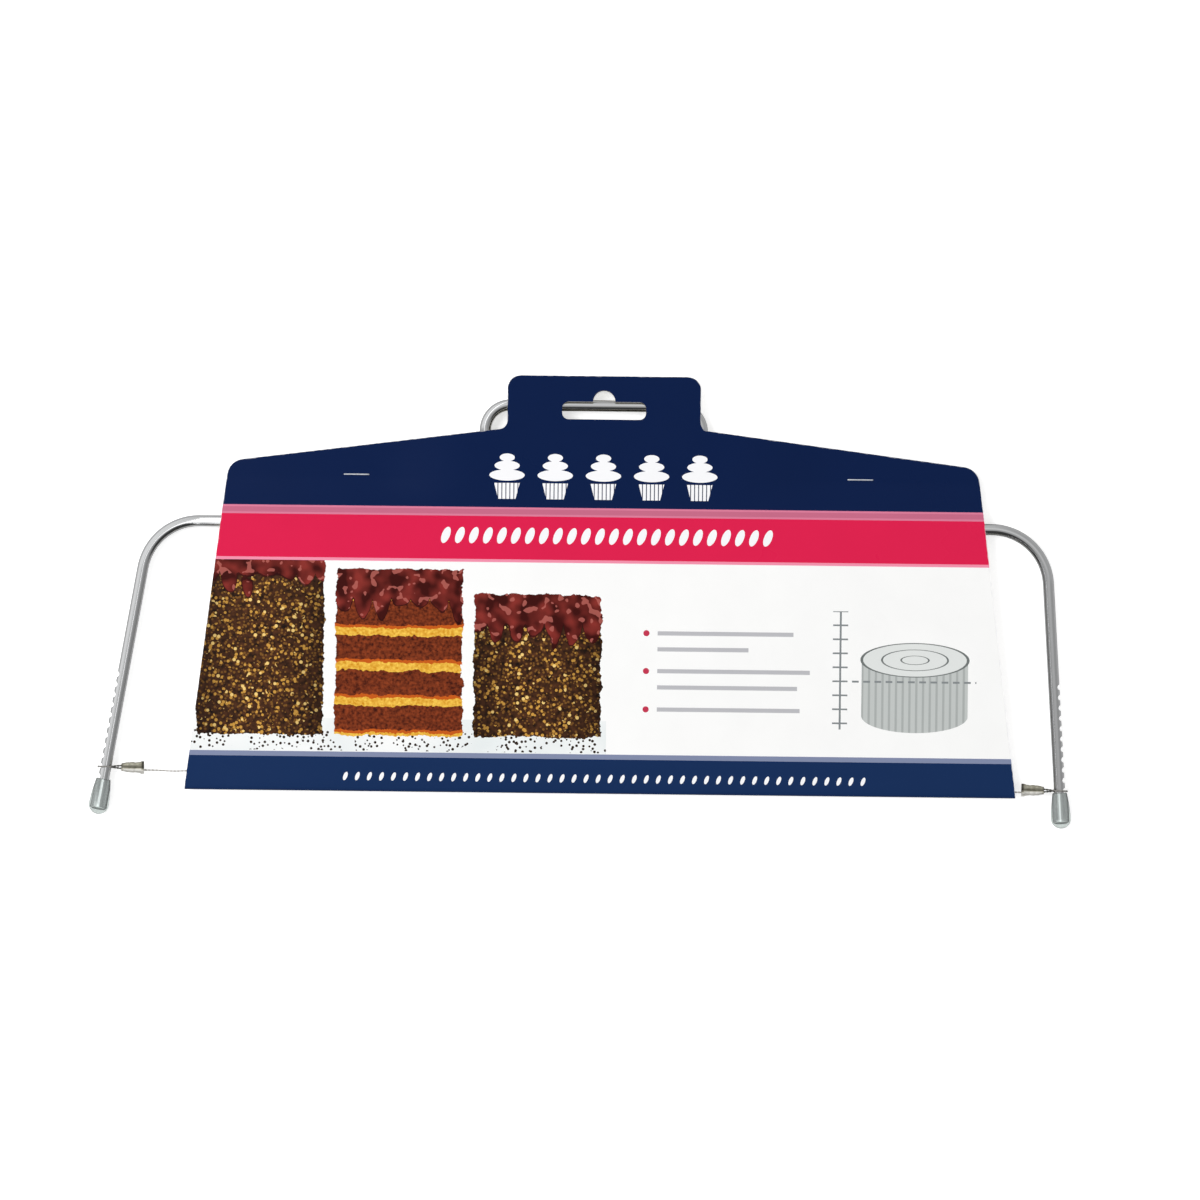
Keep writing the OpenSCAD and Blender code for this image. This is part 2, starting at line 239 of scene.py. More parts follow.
def mix(a: float, b: float, t: float) -> float:
    """Go from a to b as t goes from 0 to 1."""
    return a + (b - a) * t


def unit(v: Vector) -> Vector:
    """The vector v at a length of 1."""
    return v / v.length


def corner_arc(p: Vector, q: Vector, s: Vector, radius: float, steps: int) -> list[Vector]:
    """Points of the round that replaces the corner q between p and s.

    Args:
        p: The point before the corner.
        q: The corner.
        s: The point after the corner.
        radius: Radius of the round.
        steps: Number of straight steps along it.

    Returns:
        The round's points, from the side of p to the side of s.
    """
    to_p, to_s = unit(p - q), unit(s - q)
    half = math.acos(max(-1.0, min(1.0, to_p.dot(to_s)))) / 2
    centre = q + unit(to_p + to_s) * radius / math.sin(half)
    start = q + to_p * radius / math.tan(half) - centre
    before, after = q - p, s - q
    turn = math.copysign(math.pi - 2 * half, before.x * after.y - before.y * after.x)
    return [centre + Matrix.Rotation(turn * i / steps, 2) @ start for i in range(steps + 1)]


def rounded(corners: list[Point], steps: int) -> list[Vector]:
    """Points of a path with round corners.

    Args:
        corners: Place and radius of each corner, between the two ends of the path.
        steps: Number of straight steps along each round.

    Returns:
        The path's points.
    """
    stops = [Vector(corner[:2]) for corner in corners]
    points = [stops[0]]
    for i in range(1, len(stops) - 1):
        points += corner_arc(stops[i - 1], stops[i], stops[i + 1], corners[i][2], steps)
    return [*points, stops[-1]]


def arc(centre: Flat, radius: float, start: float, end: float, steps: int) -> list[Flat]:
    """Points of an arc.

    Args:
        centre: The arc's centre.
        radius: Its radius.
        start: Angle of its first point in degrees.
        end: Angle of its last point in degrees.
        steps: Number of straight steps along it.

    Returns:
        The arc's points.
    """
    angles = [math.radians(mix(start, end, i / steps)) for i in range(steps + 1)]
    return [(centre[0] + radius * math.cos(a), centre[1] + radius * math.sin(a)) for a in angles]


@dataclass(frozen=True)
class CardFrame:
    """The card's own frame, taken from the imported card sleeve.

    Attributes:
        middle_x: The card's middle in the row frame, in metres.
        fold_y: The card's bottom fold in the row frame, in metres.
    """

    middle_x: float
    fold_y: float

    @classmethod
    def from_model(cls) -> "CardFrame":
        """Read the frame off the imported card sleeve."""
        low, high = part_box("card_sleeve")
        return cls((low[0] + high[0]) / 2, low[1])

    def place(self, point: Point | Vector) -> Vector:
        """Turn a point in millimetres of the card's frame into the row frame's metres."""
        x, y, z = point
        return Vector((x * MM + self.middle_x, y * MM + self.fold_y, z * MM))


CARD = CardFrame.from_model()


def joint_axis(name: str) -> Vector:
    """Unit axis of a packed joint, flat in the object's plane."""
    joint = next(j for j in frame["joints"] if j["name"] == name)
    return unit(Vector(joint["axis"][:2]))


def new_object(name: str, data: bpy.types.ID) -> bpy.types.Object:
    """Link a new object.

    Args:
        name: Its name.
        data: The mesh, lamp or camera that it holds.

    Returns:
        The object.
    """
    obj = bpy.data.objects.new(name, data)
    bpy.context.scene.collection.objects.link(obj)
    return obj


def merge_doubles(mesh: bpy.types.Mesh, outwards: bool = False) -> None:
    """Merge points at one place.

    Args:
        mesh: The mesh.
        outwards: Whether its faces are also turned to point outwards.
    """
    work = bmesh.new()
    work.from_mesh(mesh)
    bmesh.ops.remove_doubles(work, verts=work.verts, dist=1e-7)
    if outwards:
        bmesh.ops.recalc_face_normals(work, faces=work.faces)
    work.to_mesh(mesh)
    work.free()


def stamp(mesh: bpy.types.Mesh, name: str, values: list[float]) -> None:
    """Store one number for each point of a mesh under a name."""
    mesh.attributes.new(name, "FLOAT", "POINT").data.foreach_set("value", values)


def lattice(
    rows: int, count: int, closed: bool = True, ends: bool = False
) -> list[tuple[int, ...]]:
    """Faces between neighbouring rows of points.

    Args:
        rows: Number of rows.
        count: Number of points in each row.
        closed: Whether each row is a ring.
        ends: Whether the first and the last row are also filled by one face each.

    Returns:
        Corner numbers of each face.
    """
    faces = []
    for i in range(rows - 1):
        for k in range(count if closed else count - 1):
            a, b = i * count + k, i * count + (k + 1) % count
            faces.append((a, b, b + count, a + count))
    if ends:
        faces += [tuple(range(start, start + count)) for start in (0, (rows - 1) * count)]
    return faces


def mesh_object(
    name: str,
    points: list[Point | Vector],
    faces: list[tuple[int, ...]],
    materials: list[bpy.types.Material],
    sharp_above: float = 40.0,
) -> bpy.types.Object:
    """Make an object from points in the card's frame.

    Args:
        name: The object's name.
        points: Points in millimetres of the card's frame.
        faces: Corner numbers of each face.
        materials: The object's materials.
        sharp_above: Edges that turn by more degrees than this stay sharp.

    Returns:
        The smooth shaded object, its faces pointing outwards.
    """
    mesh = bpy.data.meshes.new(name)
    mesh.from_pydata([CARD.place(p) for p in points], [], faces)
    merge_doubles(mesh, outwards=True)
    for material in materials:
        mesh.materials.append(material)
    mesh.shade_smooth()
    mesh.set_sharp_from_angle(angle=math.radians(sharp_above))
    return new_object(name, mesh)


def settle(obj: bpy.types.Object) -> bpy.types.Object:
    """Turn an object's modifiers into a plain mesh.

    Args:
        obj: The object, with its modifiers.

    Returns:
        The same object without modifiers.
    """
    graph = bpy.context.evaluated_depsgraph_get()
    graph.update()
    final = bpy.data.meshes.new_from_object(obj.evaluated_get(graph))
    final.name = obj.name
    obj.modifiers.clear()
    obj.data = final
    return obj


@dataclass(frozen=True)
class SweepTree:
    """Geometry Nodes that draw a wire profile along a path of edges."""

    name: str = "wire_along_path"
    sharp_above: float = 50.0

    def group(self) -> bpy.types.NodeTree:
        """Build the tree, or hand back the one already built.

        Returns:
            The tree, with named inputs for the path, the wire and its twist.
        """
        if self.name in bpy.data.node_groups:
            return bpy.data.node_groups[self.name]
        tree = bpy.data.node_groups.new(self.name, "GeometryNodeTree")
        sockets = {
            "Path": "Geometry",
            "Wire radius": "Float",
            "Strand offset": "Float",
            "Twists per metre": "Float",
            "Step length": "Float",
            "Sides": "Int",
            "Finish": "Material",
        }
        for label, kind in sockets.items():
            tree.interface.new_socket(label, in_out="INPUT", socket_type=f"NodeSocket{kind}")
        tree.interface.new_socket("Wire", in_out="OUTPUT", socket_type="NodeSocketGeometry")
        given = add_node(tree, "NodeGroupInput").outputs

        def step(kind: str, **inputs: object) -> bpy.types.NodeSocket:
            """First output of a new node, whose inputs are named with _ for each space."""
            named = {name.replace("_", " "): value for name, value in inputs.items()}
            return add_node(tree, kind, named).outputs[0]

        path = add_node(
            tree,
            "GeometryNodeResampleCurve",
            {
                "Curve": step("GeometryNodeMeshToCurve", Mesh=given["Path"]),
                "Length": given["Step length"],
            },
            mode="LENGTH",
        ).outputs[0]
        along = Value(tree, add_node(tree, "GeometryNodeSplineParameter").outputs["Length"])
        tilt = along * given["Twists per metre"] * math.tau
        path = step("GeometryNodeSetCurveTilt", Curve=path, Tilt=tilt)
        sides, radius = given["Sides"], given["Wire radius"]
        circle = step("GeometryNodeCurvePrimitiveCircle", Resolution=sides, Radius=radius)
        strands = add_node(tree, "GeometryNodeJoinGeometry")
        for direction in (-1.0, 1.0):
            place = step("ShaderNodeCombineXYZ", X=Value(tree, given["Strand offset"]) * direction)
            strand = step("GeometryNodeTransform", Geometry=circle, Translation=place)
            tree.links.new(strand, strands.inputs[0])
        profile = strands.outputs[0]
        wire = step("GeometryNodeCurveToMesh", Curve=path, Profile_Curve=profile, Fill_Caps=True)
        wire = step("GeometryNodeRealizeInstances", Geometry=wire)
        wire = step("GeometryNodeSetMaterial", Geometry=wire, Material=given["Finish"])
        add_node(tree, "NodeGroupOutput", {"Wire": wire})
        return tree

    def sweep(
        self,
        name: str,
        path: list[Point | Vector],
        wire_d: float,
        material: bpy.types.Material,
        sides: int = 24,
        step: float = 1.0,
        strand_offset: float = 0.0,
        twist_pitch: float = 0.0,
    ) -> bpy.types.Object:
        """Draw a wire along a path.

        Args:
            name: The new object's name.
            path: Points of the path in millimetres of the card's frame.
            wire_d: Diameter of each strand.
            material: The wire's finish.
            sides: Number of faces round a strand.
            step: Distance between the rings along the path.
            strand_offset: Distance of each of two strands from the path, 0 for a single wire.
            twist_pitch: Length of one full twist of two strands.

        Returns:
            The wire as a plain mesh object.
        """
        mesh = bpy.data.meshes.new(name)
        edges = [(i, i + 1) for i in range(len(path) - 1)]
        mesh.from_pydata([CARD.place(p) for p in path], edges, [])
        obj = new_object(name, mesh)
        tree = self.group()
        modifier = obj.modifiers.new("sweep", "NODES")
        values = {
            "Wire radius": wire_d / 2 * MM,
            "Strand offset": strand_offset * MM,
            "Twists per metre": 1 / (twist_pitch * MM) if twist_pitch else 0.0,
            "Step length": step * MM,
            "Sides": sides,
            "Finish": material,
        }
        sockets = {item.name: item.identifier for item in tree.interface.items_tree}
        modifier.node_group = tree
        for label, value in values.items():
            modifier[sockets[label]] = value
        settle(obj)
        obj.data.shade_smooth()
        merge_doubles(obj.data)
        obj.data.set_sharp_from_angle(angle=math.radians(self.sharp_above))
        return obj


SWEEP = SweepTree()


def shader_of(name: str) -> tuple[bpy.types.NodeTree, bpy.types.ShaderNode, bpy.types.Material]:
    """Start a material.

    Args:
        name: The material's name.

    Returns:
        Its node tree, its Principled shader and the material.
    """
    material = bpy.data.materials.new(name)
    material.use_nodes = True
    tree = material.node_tree
    tree.nodes.clear()
    shader = add_node(tree, "ShaderNodeBsdfPrincipled")
    add_node(tree, "ShaderNodeOutputMaterial", {"Surface": shader.outputs[0]})
    return tree, shader, material


def noise(
    tree: bpy.types.NodeTree, size_mm: float, detail: float = 3.0, stretch: Point = (1, 1, 1)
) -> Value:
    """Noise over the piece, in Object coordinates.

    Args:
        tree: The material's node tree.
        size_mm: Size of the noise's patches.
        detail: Number of finer layers.
        stretch: Factor on the pattern's frequency along each axis.

    Returns:
        The noise value.
    """
    where = add_node(tree, "ShaderNodeTexCoord").outputs["Object"]
    scale = tuple(1 / MM * s for s in stretch)
    scaled = add_node(tree, "ShaderNodeMapping", {"Vector": where, "Scale": scale}).outputs[0]
    inputs = {"Vector": scaled, "Scale": 1 / size_mm, "Detail": detail}
    return Value(tree, add_node(tree, "ShaderNodeTexNoise", inputs).outputs[0])


def stored(tree: bpy.types.NodeTree, name: str) -> Value:
    """Number that a piece's mesh stores for each point under a name."""
    attribute = add_node(tree, "ShaderNodeAttribute", attribute_name=name)
    return Value(tree, attribute.outputs["Fac"])


def bump(height: Value, strength: float, distance_mm: float) -> bpy.types.NodeSocket:
    """Normal of a finely uneven surface.

    Args:
        height: The surface's height, from 0 to 1.
        strength: How much of it shows.
        distance_mm: What a height of 1 stands for.

    Returns:
        The normal's socket.
    """
    inputs = {"Height": height, "Strength": strength, "Distance": distance_mm * MM}
    return add_node(height.tree, "ShaderNodeBump", inputs).outputs[0]


@dataclass(frozen=True)
class ChromePlate:
    """Bright chrome plate on drawn steel rod: mirror sharp, with a faint haze from handling."""

    name: str = "chrome_plate_on_drawn_steel_rod"
    colour: str = "#E9EAEB"
    haze_mm: float = 9.0
    ripple_mm: float = 1.6

    def material(self) -> bpy.types.Material:
        """Build the material.

        Returns:
            The material.
        """
        tree, shader, material = shader_of(self.name)
        haze, ripple = noise(tree, self.haze_mm), noise(tree, self.ripple_mm)
        # Drawn rod is never quite round, which makes the reflections waver.
        waver = bump(ripple, 0.05, 0.02)
        feed(shader, {"Base Color": linear(self.colour), "Metallic": 1.0})
        feed(shader, {"Roughness": haze.ramp(0.05, 0.15), "Normal": waver})
        return material


@dataclass(frozen=True)
class ClearVinyl:
    """Dipped clear vinyl: see-through, faintly green, with a soft shine."""

    name: str = "clear_dipped_vinyl"
    colour: str = "#E9F1EE"
    clearness: float = 0.95
    ior: float = 1.5
    roughness: float = 0.09
    sag_mm: float = 2.2

    def material(self) -> bpy.types.Material:
        """Build the material.

        Returns:
            The material.
        """
        tree, shader, material = shader_of(self.name)
        feed(shader, {"Base Color": linear(self.colour), "Roughness": self.roughness})
        feed(shader, {"Transmission Weight": self.clearness, "IOR": self.ior})
        feed(shader, {"Normal": bump(noise(tree, self.sag_mm), 0.1, 0.04)})
        return material


@dataclass(frozen=True)
class PlainMetal:
    """A thin metal finish: patches of tarnish, fine marks, painted shade and painted highlights.

    Attributes:
        name: The material's name.
        colour: Colour of the clean metal.
        dull: Colour of the tarnished metal.
        roughness: Roughness of the clean metal.
        patch_mm: Size of the patches.
        bare: Share of bare metal, the rest being matt oxide.
        bright: Painted highlight, where the shade attribute of a piece is -1.
        black: Painted shade, where it is 1.
    """

    name: str
    colour: str
    dull: str
    roughness: float
    patch_mm: float
    bare: float = 1.0
    bright: str = "#FFFDF6"
    black: str = "#2A2820"

    def material(self) -> bpy.types.Material:
        """Build the material.

        Returns:
            The material.
        """
        tree, shader, material = shader_of(self.name)
        patches = noise(tree, self.patch_mm, 5.0)
        shade = stored(tree, "shade")
        colour = blend(patches.ramp(0.0, 1.0), self.colour, self.dull)
        # Painted light from the shade attribute: a painted highlight below 0, painted shade above
        # 0.
        colour = blend(shade.step("MULTIPLY", -1.0, clamp=True), colour, self.bright)
        colour = blend(shade, colour, self.black)
        rough = patches.ramp(self.roughness, self.roughness + 0.18)
        marks = bump(noise(tree, self.patch_mm / 6), 0.2, 0.02)
        feed(shader, {"Base Color": colour, "Metallic": self.bare})
        feed(shader, {"Roughness": rough, "Normal": marks})
        return material


# Stainless cutting wire: pale and fairly bright, with dull spots where it was wound.
CUTTING_STEEL = PlainMetal("stainless_cutting_wire", "#F1EFEC", "#D6D3CD", 0.45, 0.9, 0.6)
# Nickel on crimped brass: dull olive grey; the ferrules get painted shade and highlights.
NICKELLED_BRASS = PlainMetal("nickel_plate_on_crimped_brass", "#CFCCBA", "#9E9A88", 0.42, 1.4, 0.7)
# Galvanised staple wire: bright, cool and finely scratched.
ZINC_WIRE = PlainMetal("galvanised_staple_wire", "#EEF2F8", "#C6CBD4", 0.35, 0.7, 0.5)


@dataclass(frozen=True)
class CardStock:
    """The uncoated side and the cut edges of folding boxboard: pale, dry and fibrous."""

    name: str
    colour: str
    fibre: str
    fibre_mm: float = 0.35
    roughness: float = 0.85
    specular: float = 0.25

    def material(self) -> bpy.types.Material:
        """Build the material.

        Returns:
            The material.
        """
        tree, shader, material = shader_of(self.name)
        fibres = noise(tree, self.fibre_mm, 6.0, (1.0, 0.35, 1.0))
        feed(shader, {"Base Color": blend(fibres.ramp(0.0, 1.0), self.colour, self.fibre)})
        feed(shader, {"Roughness": self.roughness, "Specular IOR Level": self.specular})
        feed(shader, {"Normal": bump(fibres, 0.25, 0.03)})
        return material


class Painter:
    """Paints flat shapes on a card in millimetres of the card's frame, one over the other."""

    def __init__(self, tree: bpy.types.NodeTree, ground: str) -> None:
        """Start with bare ground.

        Args:
            tree: The material's node tree.
            ground: Hex colour of the bare card.
        """
        self.tree = tree
        self.here = add_node(tree, "ShaderNodeTexCoord").outputs["Object"]
        for operation, other in (
            ("SUBTRACT", tuple(CARD.place((0, 0, 0)))),
            ("MULTIPLY", (1 / MM,) * 3),
        ):
            inputs = {0: self.here, 1: other}
            kind = "ShaderNodeVectorMath"
            self.here = add_node(tree, kind, inputs, operation=operation).outputs[0]
        parts = add_node(tree, "ShaderNodeSeparateXYZ", {0: self.here}).outputs
        self.x, self.y, self.z = (Value(tree, part) for part in parts)
        self.colour = add_node(tree, "ShaderNodeRGB").outputs[0]
        self.colour.default_value = linear(ground)

    def box(self, x0: float, x1: float, y0: float, y1: float) -> Value:
        """Mask of an upright rectangle."""
        return self.x.between(x0, x1) & self.y.between(y0, y1)

    def disc(self, x: float, y: float, radius: float) -> Value:
        """Mask of a disc."""
        return reach(self.x - x, self.y - y) < radius

    def ring(self, x: float, y: float, wide: float, high: float, line: float) -> Value:
        """Mask of an ellipse's outline, wide and high being its half axes."""
        distance = reach(self.x - x, self.y - y, wide, high)
        return distance.between(1 - line / wide, 1 + line / wide)

    def patches(self, size_mm: float, detail: float = 2.0) -> Value:
        """Noise value with patches of a given size."""
        inputs = {"Vector": self.here, "Scale": 1 / size_mm, "Detail": detail}
        return Value(self.tree, add_node(self.tree, "ShaderNodeTexNoise", inputs).outputs[0])

    def specks(self, size_mm: float, share: float) -> Value:
        """Mask of scattered round specks.

        Args:
            size_mm: Distance between neighbouring specks.
            share: How much of the distance a speck fills, from 0 to 1.

        Returns:
            The mask.
        """
        inputs = {"Vector": self.here, "Scale": 1 / size_mm}
        cells = add_node(self.tree, "ShaderNodeTexVoronoi", inputs)
        return Value(self.tree, cells.outputs["Distance"]) < share

    def paint(self, mask: Value, colour: object, share: float = 1.0) -> None:
        """Paint a colour where the mask is 1.

        Args:
            mask: The mask.
            colour: Hex colour, or a socket that holds one.
            share: How much the paint covers.
        """
        self.colour = blend(mask * share, self.colour, colour)


def reach(x: Value, y: Value, wide: float = 1.0, high: float = 1.0) -> Value:
    """Distance of two coordinates from zero, each measured in its own unit."""
    return ((x / wide) ** 2.0 + (y / high) ** 2.0).step("SQRT")


class PrintedCard(Painter):
    """Offset print on coated boxboard under a thin gloss: flat inks, faint mottle, scuffed edges.

    The bands keep their real places. The picture, the title places, the rules and the small
    figure are generic designs of this script's own.
    """

    name: str = "offset_print_on_coated_boxboard"
    ground: str = "#F7F7F6"
    header: str = "#071C45"
    foot: str = "#142D57"
    crimson: str = "#DA1F4C"
    pale_line: str = "#C36985"
    pale_rim: str = "#D67A97"
    thin_line: str = "#EE8FA9"
    grey_line: str = "#8089A6"
    rule: str = "#B9B9BD"
    dot: str = "#C03550"
    ink_white: str = "#F4F4F6"
    header_base: float = 102.0
    crimson_top: float = 98.8
    crimson_base: float = 83.4
    pale_base: float = 82.35
    grey_top: float = 14.1
    foot_top: float = 12.3
    front_above: float = 3.45
    specular: float = 0.08

    def __init__(self) -> None:
        """Start the material with the bare card."""
        tree, self.shader, self.printed = shader_of(self.name)
        super().__init__(tree, self.ground)
        self.front = self.z > self.front_above

    def bands(self) -> None:
        """Paint the bands that run right across both panels, the lower ones of a pair last."""
        wide, high, rim = 200.0, 200.0, 0.7
        for base, top, ink in (
            (self.pale_base, self.header_base, self.pale_rim),
            (self.pale_base, self.crimson_base, self.thin_line),
            (self.crimson_top + rim, self.header_base - rim, self.pale_line),
            (self.crimson_base, self.crimson_top, self.crimson),
            (self.header_base, high, self.header),
            (self.foot_top, self.grey_top, self.grey_line),
            (-1.0, self.foot_top, self.foot),
        ):
            self.paint(self.box(-wide, wide, base, top), ink)

    def slices(self) -> None:
        """Paint a generic picture: square blocks of cake in a row, seen straight from the side.

        The outer two blocks are rolled in dark crumbs, the middle one shows its layers.
        """
        first_x, pitch, half, base = -146.5, 49.5, 22.6, 20.0
        highest, step_down = 88.0, 8.5
        start = self.x - first_x
        number = (start / pitch).step("FLOOR")
        inside = self.front & number.between(-0.5, 2.5)
        local = start % pitch - pitch / 2
        coarse, fine = 2.6, 1.6
        ragged = (self.patches(7.0) - 0.5) * coarse + (self.patches(1.3) - 0.5) * fine
        edge = abs(local) + ragged
        top = highest - number * step_down
        level = self.y + ragged
        depth = top - level
        body = inside & (edge < half) & (level > base) & (level < top)
        self.crumbs(inside, base)
        self.sponge(body, depth)
        coated = body & (abs(number - 1.0) > 0.5)
        self.crumb_coat(coated)
        # The blocks darken towards their sides, as round cakes do.
        self.paint(coated & (local / half) ** 2.0, "#120A07", 0.6)
        self.glaze(body, depth)

    def crumbs(self, inside: Value, base: float) -> None:
        """Scatter crumbs on a pale plate below the blocks.

        Args:
            inside: Mask of the picture.
            base: Height of the blocks' base.
        """
        plate_low, plate_over, strewn_under, strewn_over = 13.9, 6.0, 5.5, 1.5
        plate = self.y.between(plate_low, base + plate_over) & self.patches(26.0).ramp(0.0, 1.0)
        self.paint(inside & plate, "#CBD8DA", 0.5)
        strewn = self.y.between(base - strewn_under, base + strewn_over)
        strewn = strewn & (self.patches(8.0) > 0.45) & self.specks(1.5, 0.33)
        self.paint(inside & strewn, "#33261F")

    def sponge(self, body: Value, depth: Value) -> None:
        """Paint sponge with layers of cream.

        Args:
            body: Mask of the blocks.
            depth: Depth below each block's top.
        """
        layer_pitch, cream_from, cream_to, soaked = 12.5, 8.6, 11.4, 1.1
        grain = self.patches(1.0, 5.0).ramp(0.0, 1.0)
        self.paint(body, blend(grain, "#3E150D", "#8E3F20"))
        layer = depth % layer_pitch
        self.paint(body & layer.between(cream_from - soaked, cream_to), "#C2591A")
        cream = body & layer.between(cream_from, cream_to)
        self.paint(cream, blend(grain, "#D08A1C", "#F5CC55"))

    def crumb_coat(self, coated: Value) -> None:
        """Cover a block with dark crumbs and scattered gold ones.

        Args:
            coated: Mask of the covered blocks.
        """
        grain = self.patches(1.8, 4.0).ramp(0.0, 1.0)
        self.paint(coated, blend(grain, "#1A110D", "#57341F"))
        drifts = self.patches(5.0) > 0.47
        self.paint(coated & self.specks(1.25, 0.36), "#7A5326")
        self.paint(coated & drifts & self.specks(1.7, 0.34), "#C89543")
        self.paint(coated & drifts & self.specks(2.6, 0.24), "#F0CB7B")

    def glaze(self, body: Value, depth: Value) -> None:
        """Pour a dark red glaze with uneven drips over the top of every block.

        Args:
            body: Mask of the blocks.
            depth: Depth below each block's top.
        """
        thick, rim_w, drips_per_mm = 11.0, 0.8, 0.46
        drip = abs((self.x * drips_per_mm).step("SINE")) * self.patches(9.0, 0.0).ramp(1.0, 9.0)
        hang = drip + thick
        glazed = body & (depth < hang)
        flow = self.patches(6.0, 1.0).ramp(-0.3, 1.0)
        self.paint(glazed, blend(flow, "#3D0F0D", "#86302A"))
        self.paint(glazed & (self.patches(3.2, 1.0) > 0.61), "#B5635A", 0.7)
        self.paint(glazed & (depth > hang - rim_w), "#2A0B09", 0.8)

    def rules(self) -> None:
        """Paint plain rules with red dots where the pack has its short lines."""
        # Height and right end of each rule, group by group.
        groups = (((57.6, 68.5), (51.9, 52.5)), ((44.1, 74.5), (38.3, 70.0)), ((30.4, 71.0),))
        left, thick, dot_x, dot_r = 20.0, 0.75, 16.0, 1.1
        bars = [self.box(left, end, y - thick, y + thick) for group in groups for y, end in group]
        self.paint(self.front & reduce(or_, bars), self.rule)
        dots = [self.disc(dot_x, group[0][0], dot_r) for group in groups]
        self.paint(self.front & reduce(or_, dots), self.dot)

    def figure(self) -> None:
        """Paint a small generic figure: a plain round cake beside a ladder of heights."""
        x, y, wide, high, tall = 112.0, 49.0, 19.0, 6.0, 20.0
        dx = self.x - x
        lid = reach(dx, self.y - y, wide, high) < 1.0
        foot = reach(dx, self.y - (y - tall), wide, high) < 1.0
        wall = self.box(x - wide, x + wide, y - tall, y)
        pleats_per_mm, rung_pitch, dash_pitch = 2.6, 5.0, 4.0
        pleats = (dx * pleats_per_mm).step("SINE").ramp(0.2, 0.6)
        self.paint(self.front & (wall | foot), blend(pleats, "#C9CDCB", "#8C9190"))
        self.paint(self.front & lid, "#DDE0DE")
        rings = [
            self.ring(x, y, wide * share, high * share, line)
            for share, line in ((1.0, 0.5), (0.62, 0.35), (0.26, 0.3))
        ]
        self.paint(self.front & reduce(or_, rings), "#6F7473")
        post = self.box(85.0, 85.7, 24.0, 66.0)
        rungs = self.box(82.6, 88.0, 24.0, 66.2) & (self.y % rung_pitch).between(0.9, 1.5)
        dashes = self.box(88.0, 134.0, 40.8, 41.5) & (self.x % dash_pitch > 1.6)
        self.paint(self.front & (post | rungs | dashes), "#83888A")

    def row_of(self, middle: Flat, count: int, pitch: float) -> tuple[Value, Value, Value]:
        """Set up a row of equal places for ornaments.

        Args:
            middle: The row's middle.
            count: Number of places.
            pitch: Width of a place.

        Returns:
            Mask of the row, and the two coordinates from the middle of each place.
        """
        start = self.x - (middle[0] - count * pitch / 2)
        row = self.front & start.between(0.0, count * pitch)
        return row, start % pitch - pitch / 2, self.y - middle[1]

    def ornaments(self) -> None:
        """Paint plain white pastry ornaments in the three title places."""
        # Header: five small cupcakes, each a pleated cup under three rounds of icing.
        row, x, y = self.row_of((0.0, 112.6), 5, 17.2)
        cup_base, cup_top, cup_half, flare = -7.6, -1.9, 3.1, 0.26
        wall = (y - cup_base) * flare + cup_half
        pleats = (x * 4.4).step("SINE") > -0.75
        shapes = [y.between(cup_base, cup_top) & (abs(x) < wall) & pleats]
        for up, wide, high in ((0.9, 6.3, 2.0), (4.3, 4.5, 1.7), (7.2, 2.7, 1.4)):
            shapes.append(reach(x, y - up, wide, high) < 1.0)
        self.paint(row & reduce(or_, shapes), self.ink_white)
        # Crimson band and foot band: piped shells that lean, two rows of different size.
        lean = -0.3
        for middle, count, pitch, wide, high in (
            ((1.5, 91.9), 24, 5.0, 1.5, 2.9),
            ((1.5, 5.4), 44, 4.3, 0.75, 1.5),
        ):
            row, x, y = self.row_of(middle, count, pitch)
            self.paint(row & (reach(x + y * lean, y, wide, high) < 1.0), self.ink_white)

    def material(self) -> bpy.types.Material:
        """Build the material.

        Returns:
            The printed outer face of the card.
        """
        self.slices()
        self.rules()
        self.figure()
        self.bands()
        self.ornaments()
        worn, torn, worn_off = 0.62, 0.95, 0.4
        scuffed = stored(self.tree, "edge_mm") < worn - self.patches(2.4, 4.0) * torn
        self.paint(scuffed, "#DADBE0", worn_off)
        mottle = {0: self.colour, "Scale": self.patches(18.0, 3.0).ramp(0.98, 1.005)}
        ink = add_node(self.tree, "ShaderNodeVectorMath", mottle, operation="SCALE").outputs[0]
        gloss = self.patches(24.0, 3.0).ramp(0.26, 0.36)
        grain = bump(self.patches(0.6, 4.0), 0.04, 0.02)
        feed(self.shader, {"Base Color": ink, "Roughness": gloss})
        feed(self.shader, {"Specular IOR Level": self.specular, "Normal": grain})
        return self.printed


